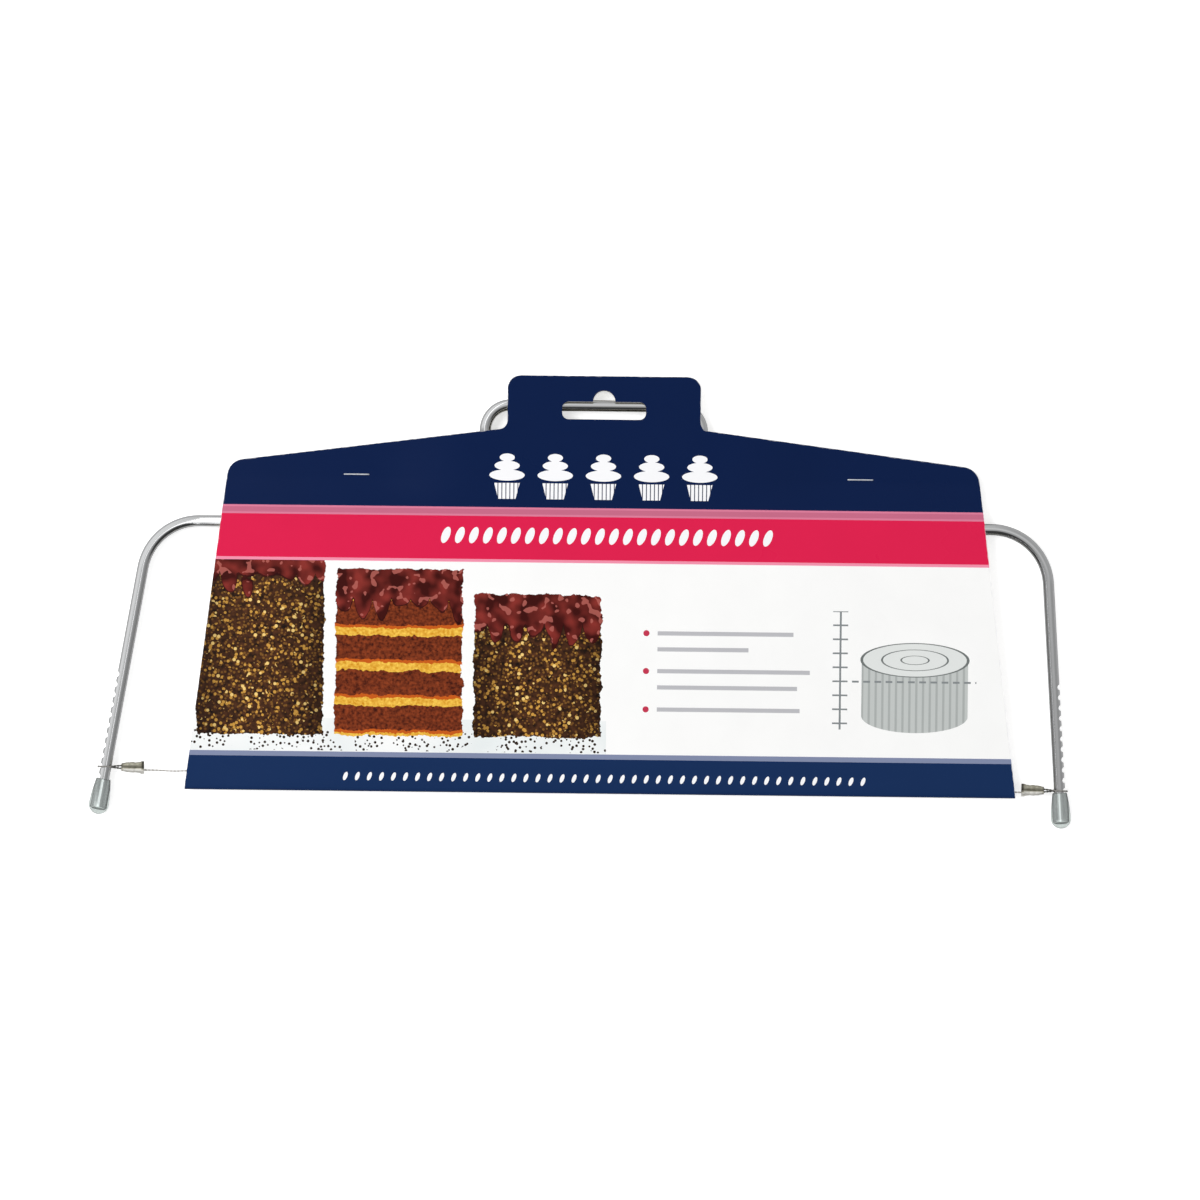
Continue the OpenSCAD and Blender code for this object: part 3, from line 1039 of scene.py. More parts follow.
@dataclass(frozen=True)
class Studio:
    """Plain pale floor, soft light and the camera of the photograph.

    Attributes:
        pixels_per_mm: Scale of the photograph on its 1200 by 1200 frame.
        roll: Clockwise turn of the object in the photograph, in degrees.
        distance: Distance of the camera above the object, in metres.
    """

    pixels_per_mm: float = 2.8
    roll: float = 0.65
    distance: float = 3.0
    frame_px: float = 1200.0
    sensor_mm: float = 36.0
    fold_px: Flat = (604.0, 794.0)
    middle_offset: float = 1.5
    subject_z: float = 5.0

    def camera(self) -> bpy.types.Object:
        """Set the camera straight above the card, far away behind a long lens.

        Returns:
            The camera.
        """
        centre_px = self.frame_px / 2
        right = (centre_px - self.fold_px[0]) / self.pixels_per_mm
        up = (self.fold_px[1] - centre_px) / self.pixels_per_mm
        turned = Matrix.Rotation(math.radians(self.roll), 2) @ Vector((right, up))
        target = CARD.place((turned.x + self.middle_offset, turned.y, self.subject_z))
        data = bpy.data.cameras.new("photo_camera")
        data.sensor_width = self.sensor_mm
        data.lens = self.sensor_mm * self.distance / (self.frame_px / self.pixels_per_mm * MM)
        camera = new_object("photo_camera", data)
        camera.location = target + Vector((0, 0, self.distance))
        camera.rotation_euler = (0.0, 0.0, math.radians(self.roll))
        bpy.context.scene.camera = camera
        return camera

    def lamp(self, name: str, where: Point | Vector, size: Flat, watts: float) -> bpy.types.Object:
        """Hang one area lamp that shines straight down.

        Args:
            name: The lamp's name.
            where: Its place in metres.
            size: Its two sides in metres.
            watts: Its power.

        Returns:
            The lamp.
        """
        data = bpy.data.lights.new(name, "AREA")
        data.shape = "RECTANGLE"
        data.size, data.size_y = size
        data.energy = watts
        lamp = new_object(name, data)
        lamp.location = where
        return lamp

    def lights(self) -> None:
        """Light the card evenly, a little more from the upper left."""
        # A thin strip over the left shoulder gives that shoulder its white core.
        over_shoulder = CARD.place((-150.0, 96.0, 300.0))
        self.lamp("shoulder_strip", over_shoulder, (0.036, 2.4), 0.3).visible_diffuse = False
        for name, where, side, watts in (
            ("key_softbox", (-1.3, 0.35, 1.7), 1.2, 28.5),
            ("fill_softbox", (1.3, -0.5, 1.8), 1.6, 5.0),
        ):
            lamp = self.lamp(name, where, (side, side), watts)
            lamp.rotation_euler = (-Vector(where)).to_track_quat("-Z", "Y").to_euler()
            # Bright metal mirrors the dome alone, whose level is set apart.
            lamp.visible_glossy = False
            lamp.visible_transmission = False

    def surroundings(self) -> None:
        """A plain dome for light, white to the camera and through the clear caps.

        Bright metal sees a dome with pale and grey sides, which gives the chrome its streaks.
        """
        world = bpy.data.worlds.new("studio_dome")
        world.use_nodes = True
        tree = world.node_tree
        tree.nodes.clear()
        way = add_node(tree, "ShaderNodeTexCoord").outputs["Generated"]
        parts = add_node(tree, "ShaderNodeSeparateXYZ", {0: way}).outputs
        x, y, z = (Value(tree, part) for part in parts)
        # The upper half of the dome is bright on the left and fades to grey on the right.
        upper, lower = x.spread(-0.7, 0.5, 0.8, 0.38), 0.26
        walls = y.spread(-0.04, 0.13, 0.0, 1.0) * (upper - lower) + lower
        # A soft ceiling lifts the middle line of every rod.
        ceiling = walls + z.spread(0.7, 0.98, 0.0, 0.14)
        # A black flag at the foot end darkens the inner sides of the bends and of the handle.
        seen_by_metal = ceiling * y.spread(-0.52, -0.28, 0.16, 1.0)
        camera, through, mirrored = self.ray_kinds(tree)
        # Inside the caps a narrow lamp on the left draws one bright streak down the rod.
        lamp_x, core, faded = 0.24, 0.1, 0.42
        gleam = through * abs(x + lamp_x).spread(core, faded, 0.8, 0.1)
        seen_by_metal = seen_by_metal + gleam
        rays = add_node(tree, "ShaderNodeLightPath").outputs
        glossy, diffuse = (Value(tree, rays[f"Is {kind} Ray"]) for kind in ("Glossy", "Diffuse"))
        bounced = (glossy | mirrored) * (1.0 - diffuse)
        direct = ((camera | through) - mirrored) | 0.0
        matt_level, white = 0.56, 1.0
        level = direct.pick(bounced.pick(matt_level, seen_by_metal), white)
        inputs = {"Color": linear("#FFFFFF"), "Strength": level}
        dome = add_node(tree, "ShaderNodeBackground", inputs)
        add_node(tree, "ShaderNodeOutputWorld", {"Surface": dome.outputs[0]})
        bpy.context.scene.world = world

    def ray_kinds(self, tree: bpy.types.NodeTree) -> tuple[Value, Value, Value]:
        """Tell the kinds of ray apart.

        Args:
            tree: The node tree that needs them.

        Returns:
            1 for a ray from the camera, 1 for one through a clear piece, and 1 for one that has
            met metal, also inside a clear cap.
        """
        rays = add_node(tree, "ShaderNodeLightPath").outputs
        names = ("Is Camera Ray", "Is Transmission Ray", "Glossy Depth")
        camera, through, bounces = (Value(tree, rays[name]) for name in names)
        return camera, through, bounces.step("MINIMUM", 1.0)

    def floor(self) -> bpy.types.Object:
        """Lay the plain pale floor just under the object.

        Returns:
            The floor.
        """
        tree, shader, material = shader_of("matt_white_studio_sheet")
        camera, through, mirrored = self.ray_kinds(tree)
        # Painted reflection: the sheet is white to the camera and grey where metal mirrors it.
        direct = (camera | through).step("SUBTRACT", mirrored, clamp=True)
        feed(shader, {"Base Color": blend(mirrored, "#F2F2F2", "#B0B0B0"), "Roughness": 0.9})
        feed(shader, {"Emission Color": linear("#FFFFFF"), "Emission Strength": direct * 0.55})
        feed(shader, {"Specular IOR Level": 0.0})
        half, drop = 4.0, -0.0004
        mesh = bpy.data.meshes.new("studio_floor")
        quarters = ((-1, -1), (1, -1), (1, 1), (-1, 1))
        mesh.from_pydata([(x * half, y * half, drop) for x, y in quarters], [], [(0, 1, 2, 3)])
        mesh.materials.append(material)
        floor = new_object("studio_floor", mesh)
        return floor

    def build(self) -> None:
        """Set up the camera, the light and the floor."""
        self.camera()
        self.lights()
        self.surroundings()
        self.floor()
        bpy.context.scene.view_settings.view_transform = "Standard"


@dataclass(frozen=True)
class RodFrame:
    """The bent rod: two notched legs, the shoulders, the neck and the handle."""

    rod_d: float = 4.0
    rod_z: float = 3.6
    shoulder_w: float = 319.4
    shoulder_h: float = 96.0
    leg_len: float = 104.0
    corner_r: float = 20.5
    frame_shift: float = -1.5
    handle_shift: float = -2.1
    handle_w: float = 77.5
    handle_h: float = 42.6
    neck_w: float = 55.0
    neck_rise: float = 12.0
    flare_rise: float = 15.0
    neck_r: float = 7.0
    flare_r: float = 10.0
    handle_r: float = 9.0
    notch_count: int = 11
    notch_pitch: float = 3.7
    first_notch: float = 10.7
    notch_depth: float = 0.8
    notch_w: float = 2.0
    ring_step: float = 0.22
    sides: int = 40
    bend_steps: int = 24

    def up(self, side: Side) -> Vector:
        """Unit vector up one leg."""
        return joint_axis(f"{side.word}_wire_slide")

    def foot(self, side: Side) -> Vector:
        """End of one leg."""
        corner = Vector((self.frame_shift + side.value * self.shoulder_w / 2, self.shoulder_h))
        return corner - self.leg_len * self.up(side)

    def seat(self, side: Side, notch: int) -> Vector:
        """Middle of the rod at one notch of one leg, counted from the lowest."""
        return self.foot(side) + (self.first_notch + notch * self.notch_pitch) * self.up(side)

    def path(self) -> list[Point]:
        """Middle line of the rod.

        Returns:
            Its points, from the left foot to the right one.
        """
        centre = self.frame_shift + self.handle_shift
        half_neck, half_handle = self.neck_w / 2, self.handle_w / 2
        flare_top = self.neck_rise + self.flare_rise
        right_half = [
            (half_handle, self.handle_h, self.handle_r),
            (half_handle, flare_top, self.flare_r),
            (half_neck, self.neck_rise, self.flare_r),
            (half_neck, 0.0, self.neck_r),
        ]
        left_half = [(-x, y, r) for x, y, r in reversed(right_half)]
        inner = [(centre + x, self.shoulder_h + y, r) for x, y, r in left_half + right_half]
        outer = self.shoulder_w / 2
        corners = [
            (*self.foot(Side.LEFT), 0.0),
            (self.frame_shift - outer, self.shoulder_h, self.corner_r),
            *inner,
            (self.frame_shift + outer, self.shoulder_h, self.corner_r),
            (*self.foot(Side.RIGHT), 0.0),
        ]
        return [(p.x, p.y, self.rod_z) for p in rounded(corners, self.bend_steps)]

    def carve(self, rod: bpy.types.Object) -> None:
        """Press the height notches into the outer side of both legs.

        Args:
            rod: The swept rod.
        """
        radius = self.notch_w / 2
        sink = self.rod_d / 2 + radius - self.notch_depth
        for side in Side:
            foot, up = CARD.place((*self.foot(side), self.rod_z)), self.up(side)
            outward = Vector((up.y, -up.x)) * side.value
            for vertex in rod.data.vertices:
                offset = (vertex.co - foot).to_2d() / MM
                along, out = offset.dot(up), offset.dot(outward)
                near = round((along - self.first_notch) / self.notch_pitch)
                gap = along - self.first_notch - near * self.notch_pitch
                if abs(out) > self.rod_d or not 0 <= near < self.notch_count or abs(gap) >= radius:
                    continue
                limit = sink - math.sqrt(radius**2 - gap**2)
                if out > limit:
                    vertex.co += (outward * (limit - out) * MM).to_3d()

    def build(self) -> bpy.types.Object:
        """Sweep the rod, cut its notches and plate it.

        Returns:
            The rod.
        """
        chrome, path = ChromePlate().material(), self.path()
        rod = SWEEP.sweep("chromed_rod", path, self.rod_d, chrome, self.sides, self.ring_step)
        self.carve(rod)
        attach(rod, "frame")
        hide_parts("frame_rod")
        return rod


def revolve(profile: list[Flat], segments: int) -> tuple[list[Point], list[tuple[int, ...]]]:
    """Turn a closed profile round the local x axis.

    Args:
        profile: Distance along the axis and radius of each point, both ends on the axis.
        segments: Number of steps round the axis.

    Returns:
        Local points and faces.
    """
    points = []
    for along, radius in profile:
        for k in range(segments):
            angle = math.tau * k / segments
            points.append((along, radius * math.cos(angle), radius * math.sin(angle)))
    return points, lattice(len(profile), segments)


@dataclass(frozen=True)
class FootCap:
    """A clear vinyl cap pushed over the end of a leg."""

    side: Side
    cap_d: float = 7.2
    mouth_d: float = 5.2
    cap_len: float = 12.8
    grip: float = 10.0
    bore_d: float = 3.98
    bore_end: float = 10.3
    floor_r: float = 0.6
    swell: float = 0.16
    segments: int = 48

    def profile(self) -> list[Flat]:
        """Half section of the cap.

        Returns:
            Distance from the mouth and radius of each point, from the bottom of the bore, round
            the lip, to the tip of the nose.
        """
        nose_r, bore_r, mouth_r = self.cap_d / 2, self.bore_d / 2, self.mouth_d / 2
        nose_start, lip_r = self.cap_len - nose_r, (mouth_r - bore_r) / 2
        corner = (self.bore_end - self.floor_r, bore_r - self.floor_r)
        points = [(self.bore_end, 0.0), *arc(corner, self.floor_r, 0, 90, 4)]
        points += arc((lip_r, bore_r + lip_r), lip_r, -90, -270, 8)
        steps = 8
        for i in range(1, steps + 1):
            t = i / steps
            radius = mix(mouth_r, nose_r, t) + self.swell * math.sin(math.pi * t)
            points.append((mix(lip_r, nose_start, t), radius))
        return points + arc((nose_start, 0.0), nose_r, 90, 0, 14)[1:]

    def build(self, rod: RodFrame, finish: bpy.types.Material) -> bpy.types.Object:
        """Turn the cap and set it on its leg.

        Args:
            rod: The frame that carries the cap.
            finish: The vinyl.

        Returns:
            The cap.
        """
        down = -rod.up(self.side)
        mouth = rod.foot(self.side) - self.grip * down
        local, faces = revolve(self.profile(), self.segments)
        across = Vector((-down.y, down.x))
        points = [(*(mouth + x * down + y * across), rod.rod_z + z) for x, y, z in local]
        node = f"{self.side.word}_foot_cap"
        cap = mesh_object(f"{self.side.word}_vinyl_cap", points, faces, [finish], 60)
        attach(cap, f"{self.side.word}_cap")
        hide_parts(node)
        return cap


@dataclass(frozen=True)
class WireSet:
    """The cutting wire, its loops round the legs and its two crimped ferrules."""

    rod: RodFrame
    wire_d: float = 0.7
    loop_gap: float = 0.35
    loop_reach: float = 5.6
    ferrule_len: float = 8.0
    ferrule_t: float = 2.2
    barrel_pitch: float = 1.7
    leg_side_pitch: float = 1.0
    rim_out: float = 0.35
    rim_len: float = 0.9
    strand_d: float = 0.39
    strand_offset: float = 0.155
    twist_pitch: float = 2.6
    left_notch: int = 1
    right_notch: int = 0

    def seat(self, side: Side) -> Vector:
        """Where one end of the wire sits on its leg."""
        return self.rod.seat(side, self.left_notch if side is Side.LEFT else self.right_notch)

    def inward(self, side: Side) -> Vector:
        """Unit vector along the wire from one leg towards the other."""
        return unit(self.seat(Side.RIGHT) - self.seat(Side.LEFT)) * -side.value

    def beside(self, side: Side, along: float, across: float, up: float) -> Point:
        """Find a point near one end of the wire.

        Args:
            side: The end of the wire.
            along: Distance along the wire from the leg's middle.
            across: Distance across it towards the handle.
            up: Height over the rod's middle.

        Returns:
            The point in the card's frame.
        """
        inward = self.inward(side)
        wire = inward * -side.value
        p = self.seat(side) + along * inward + across * Vector((-wire.y, wire.x))
        return (p.x, p.y, self.rod.rod_z + up)

    def pitch_at(self, t: float) -> float:
        """Distance between the two barrels' middles at a share t of the ferrule's length."""
        return mix(self.leg_side_pitch, self.barrel_pitch, smooth(t / 0.4))

    def loop_path(self, side: Side) -> list[Point]:
        """Path of the wire out of one barrel, round the leg and into the other barrel.

        Args:
            side: The end of the wire.

        Returns:
            The path's points.
        """
        radius = (self.rod.rod_d + self.wire_d) / 2 + self.loop_gap
        opening = math.acos(radius / self.loop_reach)
        half, steps, sway_share = self.pitch_at(0.0) / 2, 40, 0.2
        points = [self.beside(side, self.loop_reach, half, 0.0)]
        for i in range(steps + 1):
            angle = opening + (math.tau - 2 * opening) * i / steps
            sway = half * sway_share * math.cos(math.pi * i / steps)
            x, z = radius * math.cos(angle), radius * math.sin(angle)
            points.append(self.beside(side, x, sway, z))
        points.append(self.beside(side, self.loop_reach, -half, 0.0))
        return points

    def ferrule_section(self, t: float) -> tuple[float, float]:
        """Swell and pinch of the ferrule at a share t of its length.

        Args:
            t: 0 at the leg's side and 1 at the flared rim.

        Returns:
            Growth of the outline in millimetres, and the depth of the groove between the barrels.
        """
        rim_share = self.rim_len / self.ferrule_len
        flare_from, flare_over = 1 - 2.2 * rim_share, 1.6 * rim_share
        taper_depth, taper_over = 0.22, 0.35
        bites, bite_depth, bite_width = (0.36, 0.62), 0.16, 0.07
        groove, deeper, deeper_width = 0.34, 0.3, 0.25
        flare = self.rim_out * smooth((t - flare_from) / flare_over)
        taper = taper_depth * (1 - smooth(t / taper_over))
        crimp = sum(bite_depth * bell(t, bite, bite_width) for bite in bites)
        return flare - taper - crimp, groove + deeper * bell(t, 0.5, deeper_width)

    def ferrule_ring(self, t: float, grow: float, groove: float) -> list[Flat]:
        """Outline of the two barrels at a share t of the length.

        Args:
            t: Share of the ferrule's length, 0 at the leg.
            grow: How far the outline stands out.
            groove: Depth of the groove between the barrels.

        Returns:
            Points across the ferrule: across the wire, and up.
        """
        ring, count, groove_width, lift = [], 48, 0.45, 0.04
        half_t, half_p = self.ferrule_t / 2 + grow, self.pitch_at(t) / 2
        for k in range(count):
            angle = math.tau * k / count
            c, s = math.cos(angle), math.sin(angle)
            across = half_t * c + half_p * (2 * smooth(c + 0.5) - 1)
            dip = groove * bell(across, 0.0, groove_width) if s > 0 else 0.0
            ring.append((across, half_t * s - dip + lift * t * s))
        return ring

    def shade_at(self, t: float, across: float, up: float) -> float:
        """Painted shade and painted highlight on the ferrule's plate at a point.

        Args:
            t: Share of the ferrule's length.
            across: Distance from its middle line.
            up: Height over its middle.

        Returns:
            1 for painted shade, as in the flared mouth, the groove and at the leg's end, 0 where
            it is plain and -1 for a painted highlight, as on the barrel that the cutting wire
            leaves by.
        """
        rim_shade, rim_from, rim_over = 0.85, 0.87, 0.07
        groove_shade, groove_width = 0.6, 0.22
        end_shade, end_over = 0.5, 0.12
        far_side, fade_over, highlight_from, highlight_over = 1.2, 0.9, 0.2, 0.5
        # Painted shade in the flared mouth, in the groove on top and at the leg end.
        rim = rim_shade * smooth((t - rim_from) / rim_over) * smooth((across + far_side) / fade_over)
        groove = groove_shade * bell(across, 0.0, groove_width) if up > 0 else 0.0
        leg_end = end_shade * (1 - smooth(t / end_over))
        dark = max(rim, groove, leg_end)
        # The lower barrel gets a painted highlight wherever it is not in painted shade.
        return dark - (1 - dark) * smooth((-across - highlight_from) / highlight_over)

    def ferrule(self, side: Side, finish: bpy.types.Material) -> bpy.types.Object:
        """Loft one crimped ferrule with an open, flared mouth.

        Args:
            side: The end of the wire that it is on.
            finish: The metal.

        Returns:
            The ferrule.
        """
        steps, points, shades = 44, [], []
        mouth_wall, mouth_depth, mouth_taper, mouth_groove = 0.3, 1.1, 0.25, 0.1
        rings = []
        for i in range(steps + 1):
            t = i / steps
            grow, groove = self.ferrule_section(t)
            rings.append((t * self.ferrule_len, self.ferrule_ring(t, grow, groove)))
        lip = self.ferrule_ring(1.0, self.rim_out - mouth_wall, mouth_groove)
        bottom = self.ferrule_ring(1.0, -mouth_wall - mouth_taper, 0.0)
        rings += [(self.ferrule_len, lip), (self.ferrule_len - mouth_depth, bottom)]
        for along, ring in rings:
            for across, up in ring:
                points.append(self.beside(side, self.loop_reach + along, across, up))
                shades.append(self.shade_at(along / self.ferrule_len, across, up))
        faces = lattice(len(rings), len(lip), ends=True)
        piece = mesh_object(f"{side.word}_crimped_ferrule", points, faces, [finish], 35)
        stamp(piece.data, "shade", shades)
        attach(piece, f"{side.word}_wire_end")
        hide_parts(f"{side.word}_ferrule")
        return piece

    def twist(
        self,
        name: str,
        path: list[Point | Vector],
        finish: bpy.types.Material,
        sides: int,
        step: float,
    ) -> bpy.types.Object:
        """Sweep the wire's two twisted strands along a path, with the arguments of sweep()."""
        strands = (self.strand_offset, self.twist_pitch)
        return SWEEP.sweep(name, path, self.strand_d, finish, sides, step, *strands)

    def loop(self, side: Side, finish: bpy.types.Material) -> bpy.types.Object:
        """Wind one end of the wire round its leg.

        Args:
            side: The end of the wire.
            finish: The wire's steel.

        Returns:
            The loop.
        """
        piece = self.twist(f"{side.word}_wire_end_loop", self.loop_path(side), finish, 8, 0.2)
        # Painted shade darkens the whole loop, the doubled wire between leg and ferrule more than
        # the coil.
        start = CARD.place((*self.seat(side), self.rod.rod_z))
        inward = self.inward(side)
        coil, doubled, from_leg, over = 0.45, 0.8, 1.5, 1.5
        offsets = [(v.co - start).to_2d().dot(inward) / MM for v in piece.data.vertices]
        shades = [mix(coil, doubled, smooth((r - from_leg) / over)) for r in offsets]
        stamp(piece.data, "shade", shades)
        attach(piece, f"{side.word}_wire_end")
        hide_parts(f"{side.word}_wire_loop")
        return piece

    def wire(self, finish: bpy.types.Material) -> bpy.types.Object:
        """Draw the twisted cutting wire between the ferrules.

        Args:
            finish: The wire's steel.

        Returns:
            The wire, which rides with the left end.
        """
        steps, sunk, wave_height, wave_count, fade = 240, 0.6, 0.28, 23, 12
        start = self.loop_reach + self.ferrule_len - sunk
        lower = -self.barrel_pitch / 2
        ends = [Vector(self.beside(side, start, lower, 0.0)) for side in Side]
        run = ends[1] - ends[0]
        sway = Vector((-run.y, run.x, 0)).normalized()
        path = []
        for i in range(steps + 1):
            t = i / steps
            # Wire off a reel keeps a faint wave, which dies out where the crimps hold it.
            held = min(1.0, fade * t, fade * (1 - t))
            wave = wave_height * math.sin(t * math.tau * wave_count) * held
            path.append(ends[0] + run * t + sway * wave)
        piece = self.twist("twisted_cutting_wire", path, finish, 6, 0.26)
        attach(piece, "left_wire_end")
        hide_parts("cutting_wire")
        tuple(CARD.place(ends[0]))
        self.span_left(run.x)
        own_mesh(piece)
        return piece

    def span_left(self, span: float) -> float:
        """Share of the wire's span that is left when both ends are at their top notch.

        Args:
            span: Distance between the ferrules at rest.

        Returns:
            The share, from 0 to 1.
        """
        travel = next(j for j in frame["joints"] if j["name"] == "left_wire_slide")["range_m"][1]
        left, right = self.rod.up(Side.LEFT), self.rod.up(Side.RIGHT)
        rise = travel / MM * left.y
        closing = rise * (left.x / left.y - right.x / right.y)
        return (span - closing) / span

    def build(self) -> list[bpy.types.Object]:
        """Make the wire, the loops and the ferrules.

        Returns:
            The pieces.
        """
        steel = CUTTING_STEEL.material()
        nickel = NICKELLED_BRASS.material()
        pieces = [self.wire(steel)]
        for side in Side:
            pieces += [self.loop(side, steel), self.ferrule(side, nickel)]
        return pieces


@dataclass(frozen=True)
class CardSleeve:
    """The printed card: front panel, bottom fold and back panel, drawn together by the staples."""

    card_t: float = 0.45
    bottom_w: float = 297.0
    wing_w: float = 267.6
    wing_h: float = 117.6
    tab_root_h: float = 130.3
    tab_h: float = 149.2
    tab_w: float = 69.0
    shoulder_h: float = 96.0
    wing_r: float = 6.4
    tab_r: float = 4.6
    tab_root_r: float = 3.0
    fold_r: float = 1.5
    fold_z: float = 3.4
    pinch_z: float = 3.6
    pinch_gap: float = 0.15
    front_open_z: float = 5.85
    back_lands_h: float = 40.0
    open_half: float = 47.35
    pinch_half: float = 81.55
    pinch_start: float = 98.5
    pinch_end: float = 112.45
    slot_w: float = 30.0
    slot_h: float = 6.3
    slot_base_h: float = 133.7
    slot_bump_r: float = 4.0
    slot_end_r: float = 2.4
    columns: int = 128
    row_step: float = 2.4

    @cached_property
    def line(self) -> list[Flat]:
        """Right half of the card's outline.

        Returns:
            Its points, from the fold up to the tab's top edge.
        """
        corners = [
            (self.bottom_w / 2, 0.0, 0.0),
            (self.wing_w / 2, self.wing_h, self.wing_r),
            (self.tab_w / 2, self.tab_root_h, self.tab_root_r),
            (self.tab_w / 2, self.tab_h, self.tab_r),
            (0.0, self.tab_h, 0.0),
        ]
        return [tuple(p) for p in rounded(corners, 10)[:-1]]

    def half_width(self, y: float) -> float:
        """Half the card's width at a height.

        Args:
            y: The height over the fold.

        Returns:
            The half width.
        """
        for (x0, y0), (x1, y1) in zip(self.line, self.line[1:]):
            if y0 <= y <= y1 and y1 > y0:
                return mix(x0, x1, (y - y0) / (y1 - y0))
        return self.line[-1 if y > self.line[-1][1] else 0][0]

    def heights(self) -> list[float]:
        """Heights of the rows of points.

        Returns:
            The heights, from the end of the fold to the tab's top edge.
        """
        lead, fine_step, closest = 3.0, 1.0, 0.15
        rows = {round(y, 4) for _, y in self.line if y > self.fold_r}
        y = self.fold_r
        while y < self.tab_h:
            rows.add(round(y, 4))
            y += fine_step if self.pinch_start - lead < y < self.tab_root_h else self.row_step
        ordered = sorted(rows)
        kept = [ordered[0]]
        for y in ordered[1:]:
            if y - kept[-1] > closest:
                kept.append(y)
        kept[-1] = self.tab_h
        return kept

    def drawn(self, x: float, y: float) -> float:
        """Share by which the panels are drawn together at a point."""
        across = smooth((abs(x) - self.open_half) / (self.pinch_half - self.open_half))
        return across * smooth((y - self.pinch_start) / (self.pinch_end - self.pinch_start))

    def panel_z(self, x: float, y: float, facing: int) -> float:
        """Height of the middle of a panel's thickness.

        Args:
            x: Place across the card.
            y: Height over the fold.
            facing: 1 for the front panel and -1 for the back one.

        Returns:
            The height over the surface that the leveler lies on.
        """
        open_z, open_h = self.card_t, self.back_lands_h
        if facing > 0:
            open_z, open_h = self.front_open_z, self.shoulder_h
        inner = self.fold_z + facing * (self.fold_r - self.card_t)
        loose = mix(inner, open_z, min(1.0, (y - self.fold_r) / (open_h - self.fold_r)))
        pinched = self.pinch_z + facing * self.pinch_gap / 2
        return mix(loose, pinched, self.drawn(x, y)) + facing * self.card_t / 2

    def waves(self, x: float, y: float) -> float:
        """Faint waves of a card that has been handled, none at the staples and the edges.

        Args:
            x: Place across the card.
            y: Height over the fold.

        Returns:
            How far the front panel stands out there.
        """
        height, from_fold, from_tab = 0.07, 30.0, 20.0
        wide, long, slant, start = 31.0, 23.0, 90.0, 0.7
        near_edge = smooth(y / from_fold) * smooth((self.tab_h - y) / from_tab)
        swell = 1 + math.sin(x / wide + start) * math.sin(y / long + x / slant)
        return height * (1 - self.drawn(x, y)) * near_edge * swell

    def edge_distance(self, x: float, y: float) -> float:
        """Distance of a point from the card's outline.

        Args:
            x: The point's place across the card.
            y: Its height over the fold.

        Returns:
            The distance.
        """
        best = self.tab_h - y
        for (x0, y0), (x1, y1) in zip(self.line, self.line[1:]):
            run = (x1 - x0, y1 - y0)
            length = run[0] ** 2 + run[1] ** 2
            t = ((abs(x) - x0) * run[0] + (y - y0) * run[1]) / length
            t = min(1.0, max(0.0, t))
            best = min(best, math.hypot(abs(x) - x0 - run[0] * t, y - y0 - run[1] * t))
        return best

    def places(self, y: float) -> list[float]:
        """Places across the card of the points in the row at a height."""
        half = self.half_width(y)
        return [half * (2 * i / self.columns - 1) for i in range(self.columns + 1)]

    def rows(self) -> list[list[Point]]:
        """Lay rows of points over the back panel, round the fold and over the front panel.

        Returns:
            The rows.
        """
        steps, middle_r = 12, self.fold_r - self.card_t / 2
        ups = self.heights()
        table = [[(x, y, self.panel_z(x, y, -1)) for x in self.places(y)] for y in reversed(ups)]
        for i in range(1, steps):
            angle = math.pi * i / steps
            y = self.fold_r - middle_r * math.sin(angle)
            z = self.fold_z - middle_r * math.cos(angle)
            table.append([(x, y, z) for x in self.places(y)])
        for y in ups:
            front = [(x, y, self.panel_z(x, y, 1) + self.waves(x, y)) for x in self.places(y)]
            table.append(front)
        return table

    def slot_outline(self) -> list[Flat]:
        """Outline of the hang slot, counter-clockwise from the lower right corner.

        Returns:
            The outline's points.
        """
        x, r = self.slot_w / 2 - self.slot_end_r, self.slot_end_r
        base, top = self.slot_base_h, self.slot_base_h + self.slot_h
        outline = arc((x, base + r), r, -90, 0, 8) + arc((x, top - r), r, 0, 90, 8)
        outline += arc((0.0, top), self.slot_bump_r, 0, 180, 24)
        return outline + arc((-x, top - r), r, 90, 180, 8) + arc((-x, base + r), r, 180, 270, 8)

    def cut_slot(self, card: bpy.types.Object, edge: bpy.types.Material) -> None:
        """Punch the hang slot through both panels.

        Args:
            card: The thick card.
            edge: The cut board that the punched walls show.
        """
        outline = self.slot_outline()
        low, high = -3.0, 12.0
        points = [(x, y, low) for x, y in outline] + [(x, y, high) for x, y in outline]
        punch = mesh_object("slot_punch", points, lattice(2, len(outline), ends=True), [edge])
        boolean = card.modifiers.new("slot", "BOOLEAN")
        boolean.operation = "DIFFERENCE"
        boolean.solver = "EXACT"
        boolean.material_mode = "TRANSFER"
        boolean.object = punch
        settle(card)
        bpy.data.objects.remove(punch)

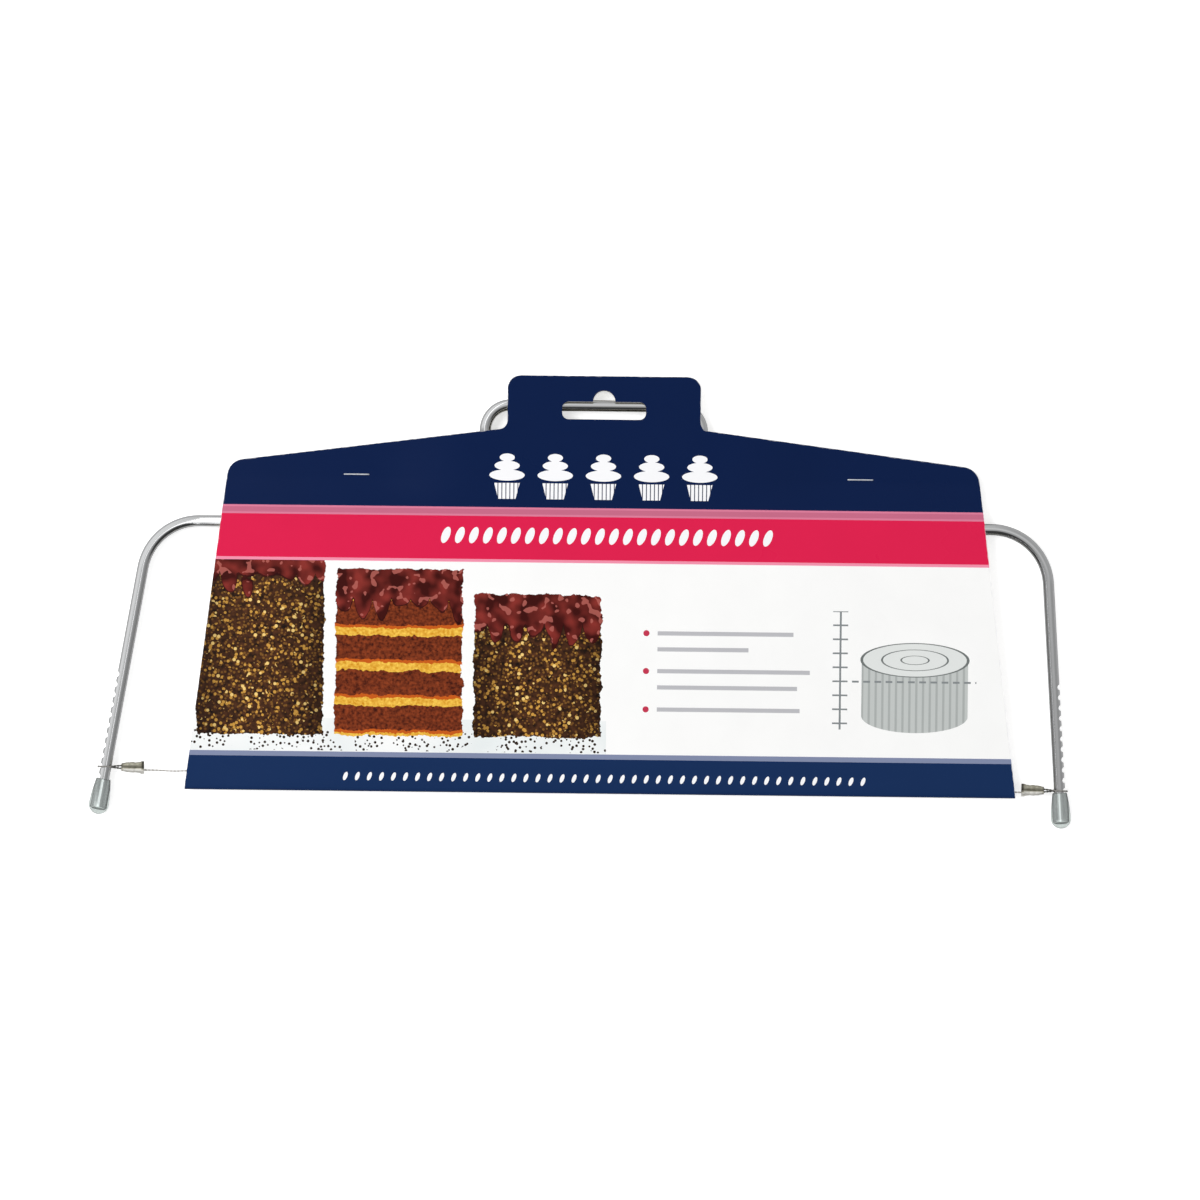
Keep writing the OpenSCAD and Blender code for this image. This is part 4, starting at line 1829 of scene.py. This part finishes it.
    def build(self) -> bpy.types.Object:
        """Fold, thicken and punch the card.

        Returns:
            The card.
        """
        table = self.rows()
        points = [p for row in table for p in row]
        faces = lattice(len(table), self.columns + 1, closed=False)
        mesh = bpy.data.meshes.new("printed_card_sleeve")
        mesh.from_pydata([CARD.place(p) for p in points], [], faces)
        stamp(mesh, "edge_mm", [self.edge_distance(x, y) for x, y, _ in points])
        edge = CardStock("cut_boxboard_edge", "#E4E2DC", "#C8C4BA").material()
        for material in (
            PrintedCard().material(),
            CardStock("uncoated_boxboard_back", "#D8D5CC", "#BFBAAE").material(),
            edge,
        ):
            mesh.materials.append(material)
        card = new_object("printed_card_sleeve", mesh)
        thick = card.modifiers.new("board", "SOLIDIFY")
        thick.thickness = self.card_t * MM
        thick.offset = 0.0
        thick.material_offset = 1
        thick.material_offset_rim = 2
        settle(card)
        self.cut_slot(card, edge)
        card.data.shade_smooth()
        card.data.set_sharp_from_angle(angle=math.radians(40))
        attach(card, "frame")
        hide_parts("card_sleeve")
        return card


@dataclass(frozen=True)
class Staple:
    """A wire staple through both panels, its legs bent over behind."""

    side: Side
    spread: float = 180.0
    shift: float = 1.8
    height: float = 113.2
    crown_w: float = 9.3
    wire_d: float = 0.5
    front_z: float = 4.125
    back_z: float = 3.075
    clinch: float = 3.6
    bend_r: float = 0.35

    def build(self, finish: bpy.types.Material) -> bpy.types.Object:
        """Bend the staple out of one wire.

        Args:
            finish: The staple's metal.

        Returns:
            The staple.
        """
        half, r = self.crown_w / 2 - self.wire_d / 2, self.wire_d / 2
        high, low = self.front_z + r, self.back_z - r
        tip, bend_steps = half - self.clinch, 6
        stops = [(tip, low), (half, low), (half, high), (-half, high), (-half, low), (-tip, low)]
        wire = rounded([(*stop, self.bend_r) for stop in stops], bend_steps)
        x = self.shift + self.side.value * self.spread / 2
        path = [(x + p.x, self.height, p.y) for p in wire]
        name = f"{self.side.word}_wire_staple"
        staple = SWEEP.sweep(name, path, self.wire_d, finish, 12, 0.12)
        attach(staple, "frame")
        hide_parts(f"{self.side.word}_staple")
        return staple


def report(obj: bpy.types.Object) -> None:
    """Log the size of one finished piece."""
    LOG.info("%s: %d faces", obj.name, len(obj.data.polygons))


def main() -> None:
    """Build the studio and every piece."""
    logging.basicConfig(level=logging.INFO, format="%(message)s")
    Studio().build()
    rod = RodFrame()
    report(rod.build())
    vinyl = ClearVinyl().material()
    for side in Side:
        report(FootCap(side).build(rod, vinyl))
    for piece in WireSet(rod).build():
        report(piece)
    report(CardSleeve().build())
    zinc = ZINC_WIRE.material()
    for side in Side:
        report(Staple(side).build(zinc))


if __name__ == "__main__":
    main()
